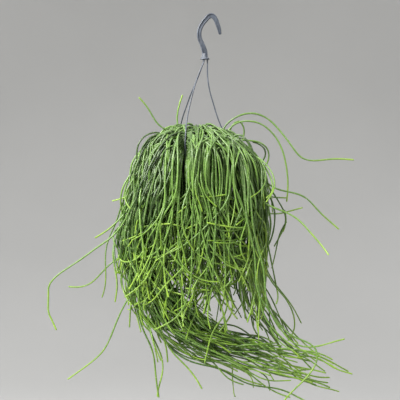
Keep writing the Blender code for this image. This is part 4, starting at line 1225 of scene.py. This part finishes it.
def out_of_pot(points):
    """The moves that take points out of the pot's wall and rim, the soil and the space below."""
    x, y, z = points[:, 0] - POT_X, points[:, 1], points[:, 2]
    r = np.maximum(np.hypot(x, y), 1e-6)
    move = np.zeros_like(points)
    r_out = np.where(z > RIM_Z - 8.0 - CLEAR, RIM_R, wall_r(z)) + CLEAR
    r_in = POT_TOP_R - POT_WALL - CLEAR
    top = RIM_Z + CLEAR
    wall = (z < top) & (z > BASE_Z - CLEAR) & (r < r_out) & (r > r_in)
    up, outwards, inwards = top - z, r_out - r, r - r_in
    go_up = wall & (up <= outwards) & (up <= inwards)
    go_out = wall & ~go_up & ((outwards <= inwards) | (z < SOIL_Z + CLEAR))
    go_in = wall & ~go_up & ~go_out
    move[go_up, 2] = up[go_up]
    outwards = np.where(go_out, outwards, np.where(go_in, -inwards, 0.0))
    move[:, 0] += x / r * outwards
    move[:, 1] += y / r * outwards
    under = (r < POT_BASE_R + 4.0) & (z <= BASE_Z + 20.0) & (z > BASE_Z - 8.0)
    move[under, 2] = (BASE_Z - 8.0 - z)[under]
    return move


def parted(path):
    """Points in front of the front leg go behind it: their depth is blended to just behind the
    leg's by a bell curve of how far to the side of it they are, which fades out at the rim."""
    azimuth, way = LEGS["hanger_leg_front"]
    leg = np.array([*way, (*ring_place(POT_X, LEG_RING_R, azimuth), RIM_Z)])[::-1]
    x, y = (np.interp(path[:, 2], leg[:, 2], leg[:, axis]) for axis in range(2))
    bell = np.exp(-((path[:, 0] - x) / PARTING) ** 4)
    fade = np.clip((path[:, 2] - RIM_Z + 2.0) / 16.0, 0.0, 1.0) * (path[:, 2] < CROWN_TOP)
    path[:, 1] += np.maximum(y + BEHIND_LEG - path[:, 1], 0.0) * bell * fade
    return path


def settled(path):
    """A path with even points, clear of the pot and inside the solid model's box."""
    length = along(path)[-1]
    path = at(path, np.linspace(0.0, length, max(12, int(length / PATH_STEP))))
    path[2:] = parted(path[2:])
    for _ in range(SOFTENING):
        path[2:] += out_of_pot(path[2:])
        path[2:-1] = 0.5 * path[2:-1] + 0.25 * (path[1:-2] + path[3:])
    path[2:] = parted(path[2:])
    path[2:] += out_of_pot(path[2:])
    return np.clip(path, LOW + BOX_MARGIN, HIGH - BOX_MARGIN)


ripple_rng = np.random.default_rng(12)
for stem in stems:
    stem["path"] = settled(rippled(stem["path"], ripple_rng, stem["stray"]))
print("points on all paths:", sum(len(stem["path"]) for stem in stems))

# %% [markdown]
# ## From a path to a stem
#
# A stem is thickest at its root and narrows to a blunt, rounded tip. Rhipsalis grows in lengths of
# a hand's breadth, one out of the end of the last, so every stem has joints: a slight waist with a
# slight swelling behind it. The radius is a straight taper times one minus a narrow bell curve at
# each joint. The last rows follow a quarter of a circle down to the tip.

# %% Radius along a stem
ROOT_R, TIP_R = 2.1, 1.5
STEM_SIDES = 6
ROW_STEP = 9.0
ROW_COUNTS = (16, 26, 40, 60, 90, 130)
TIP_ROWS = ((2.0, 1.0), (1.2, 0.9), (0.5, 0.66), (0.12, 0.34), (0.0, 0.12))  # from the end, part
FIRST_JOINT, JOINT_SPACING = (60, 150), (80, 170)
WAIST, WAIST_LENGTH = 0.2, 7.0
SWELLING, SWELLING_LENGTH, SWELLING_BACK = 0.08, 10.0, 14.0


def stem_rows(stem, rng):
    """A stem's rows, with a count from ROW_COUNTS: points, radii, youth and distances."""
    path, length = stem["path"], along(stem["path"])[-1]
    count = next((c for c in ROW_COUNTS if c >= length / ROW_STEP), ROW_COUNTS[-1])
    distance, end = np.linspace(0.0, length, count), np.ones(count)
    if not stem["cut"]:
        back, end[-len(TIP_ROWS):] = np.transpose(TIP_ROWS)
        distance = np.append(np.linspace(0.0, length - 3.0, count - len(TIP_ROWS)), length - back)
    share = distance / length
    radius = stem["thick"] * (ROOT_R + (TIP_R - ROOT_R) * share ** 0.7)
    joint = rng.uniform(*FIRST_JOINT)
    while joint < length - 20.0:
        waist = np.exp(-((distance - joint) / WAIST_LENGTH) ** 2)
        swelling = np.exp(-((distance - joint + SWELLING_BACK) / SWELLING_LENGTH) ** 2)
        radius = radius * (1 - WAIST * waist + SWELLING * swelling)
        joint += rng.uniform(*JOINT_SPACING)
    youth = 0.3 * share if stem["cut"] else stem["youth"] + (1.0 - stem["youth"]) * share
    return at(path, distance), radius * end, youth, distance


# %% [markdown]
# ## The plugs' tops
#
# Where the stems leave the soil, each plug shows as a small mound of roots and peat. Its height
# falls off from the middle like a bell, and it takes the soil's finish.

# %% Building a spray
MOUND_RINGS, MOUND_SIDES = 8, 28
MOUND_R = PLUG_R - 0.3


def plug_mound(place, rng):
    """A small mound: rings whose height is a bell curve of the radius, with a little noise."""
    radius = np.linspace(0.3, MOUND_R, MOUND_RINGS)
    height = SOIL_Z + PLUG_RISE * np.exp(-(radius / 7.5) ** 4)
    profile = np.stack([np.append(radius, [MOUND_R, 0.3]),
                        np.append(height, [SOIL_Z - 6.0, SOIL_Z - 6.0])], axis=1)
    rings = lathe(profile[::-1], MOUND_SIDES, *place)
    rings[2:, :, 2] += rng.uniform(-0.5, 0.3, rings[2:, :, 2].shape)
    rings[-1, :, 2] = rings[-1, :, 2].mean()
    return closed_rings(rings)


def build_spray(number, rng):
    """One piece: a plug's mound and every stem that grows from it, in batches of equal rows.

    The mound's faces take the second finish, cut ends the third and all others the first.
    """
    mound, faces = plug_mound(PLACES[number], rng)
    points, growth, choice = [mound], [np.zeros_like(mound)], [np.ones(sum(map(len, faces)))]
    walls, ends, end_choice = [], [], []
    batches = {}
    for stem in (s for s in stems if s["plug"] == number):
        rows = stem_rows(stem, rng)
        # Part random, part painted shade: a low layer, deep inside the head, makes the stem darker.
        tone_and_painted_shade = 0.45 * stem["layer"] + 0.55 * rng.random()
        batches.setdefault(len(rows[1]), []).append((*rows, tone_and_painted_shade, stem["cut"]))
    first = len(mound)
    for batch in batches.values():
        lines, radii, youth, runs, tones_and_painted_shade, cut = (np.stack(column) for column in zip(*batch))
        made, made_walls, made_ends = tubes(lines, radii, STEM_SIDES)
        data = np.stack([youth, np.broadcast_to(tones_and_painted_shade[:, None], youth.shape), runs], axis=-1)
        points.append(made)
        growth.append(np.repeat(data.reshape(-1, 3), STEM_SIDES, axis=0))
        walls.append(made_walls + first)
        ends.append(made_ends + first)
        end_choice.append(np.concatenate([np.zeros(len(cut)), np.where(cut, 2, 0)]))
        first += len(made)
    faces += [np.concatenate(walls), np.concatenate(ends)]
    choice = np.concatenate([*choice, np.zeros(len(faces[-2])), *end_choice])
    piece = make_piece(f"stems_{number + 1:02d}", np.concatenate(points), faces,
                       [STEM, SOIL, CUT], [sprays[number]], "stem", 75, choice)
    layer = piece.data.attributes.new(STEM_DATA, "FLOAT_VECTOR", "POINT")
    layer.data.foreach_set("vector", np.concatenate(growth).astype(np.float32).ravel())
    return piece


stem_rng = np.random.default_rng(5)
pieces = [build_spray(number, stem_rng) for number in range(len(PLACES))]
triangles = [sum(len(face.vertices) - 2 for face in piece.data.polygons) for piece in pieces]
print("stem triangles:", sum(triangles), "most in one piece:", max(triangles))

# %% [markdown]
# ## The studio
#
# The plant hangs over a plain pale floor, which turns up into a wall far away on every side, like
# a big bowl, so that there is a quiet background whichever way the camera looks. A turned profile
# with a quarter of a circle between floor and wall makes it.

# %% Floor
FLOOR_Z = -1.30  # metres, like the lines below
BOWL_R, BEND_R, WALL_TOP = 5.0, 2.4, 5.0
BOWL_SIDES = 96


def stage_finish():
    made, where = start_finish("studio_paint")
    colour = mixed(srgb(172, 172, 171), srgb(180, 180, 179), spots(where, 900.0))
    return end_finish(made, colour, 0.9)


def build_stage():
    """A bowl: a flat floor, a quarter circle up, and a wall. Its faces look inwards."""
    bend = np.linspace(0.0, math.pi / 2, 16)
    radius = np.concatenate([[0.02], BOWL_R - BEND_R + BEND_R * np.sin(bend), [BOWL_R]])
    height = np.concatenate([[FLOOR_Z], FLOOR_Z + BEND_R * (1 - np.cos(bend)), [WALL_TOP]])
    rings = lathe(np.stack([radius, height], axis=1), BOWL_SIDES, 0.0)[::-1]
    points, (walls, ends) = closed_rings(rings)
    mesh = bpy.data.meshes.new("studio")
    mesh.from_pydata(points.tolist(), [], walls.tolist() + ends[1:].tolist())
    mesh.materials.append(stage_finish())
    mesh.shade_smooth()
    bowl = bpy.data.objects.new("studio", mesh)
    bpy.context.scene.collection.objects.link(bowl)
    return bowl


stage = build_stage()

# %% [markdown]
# The light is soft: one lamp above and to the left in front, one from the left that draws a bright
# line down every stem, weaker ones above, to the right and behind, and a pale sky that fills the
# shadows from the open top of the bowl.

# %% Lights
def lamp(name, place, aim, size, power, tint=(1.0, 1.0, 1.0)):
    light = bpy.data.lights.new(name, "AREA")
    light.shape, light.size, light.energy, light.color = "DISK", size, power, tint
    made = bpy.data.objects.new(name, light)
    bpy.context.scene.collection.objects.link(made)
    made.location = place
    toward = np.array(aim) - np.array(place)
    flat = math.hypot(toward[0], toward[1])
    made.rotation_euler = (math.atan2(flat, -toward[2]), 0.0,
                           math.atan2(toward[1], toward[0]) - math.pi / 2)
    return made


PLANT = (0.0, 0.0, -0.36)
lamp("key", (-1.8, -2.05, 1.95), PLANT, 0.8, 235.0, (1.0, 0.99, 0.97))
lamp("side", (-2.9, -0.2, 1.5), PLANT, 1.2, 80.0)
lamp("fill", (2.6, -2.2, 0.9), PLANT, 1.6, 14.0)
lamp("top", (0.2, 0.3, 3.2), PLANT, 1.6, 50.0)
lamp("back_left", (-2.4, 2.4, 1.6), PLANT, 1.6, 24.0)
lamp("back_right", (2.4, 2.4, 1.6), PLANT, 1.6, 45.0)

world = bpy.data.worlds.new("studio_air")
bpy.context.scene.world = world
world.use_nodes = True
world.node_tree.nodes["Background"].inputs["Color"].default_value = (0.92, 0.96, 1.0, 1.0)
world.node_tree.nodes["Background"].inputs["Strength"].default_value = 0.1
bpy.context.scene.view_settings.view_transform = "Standard"
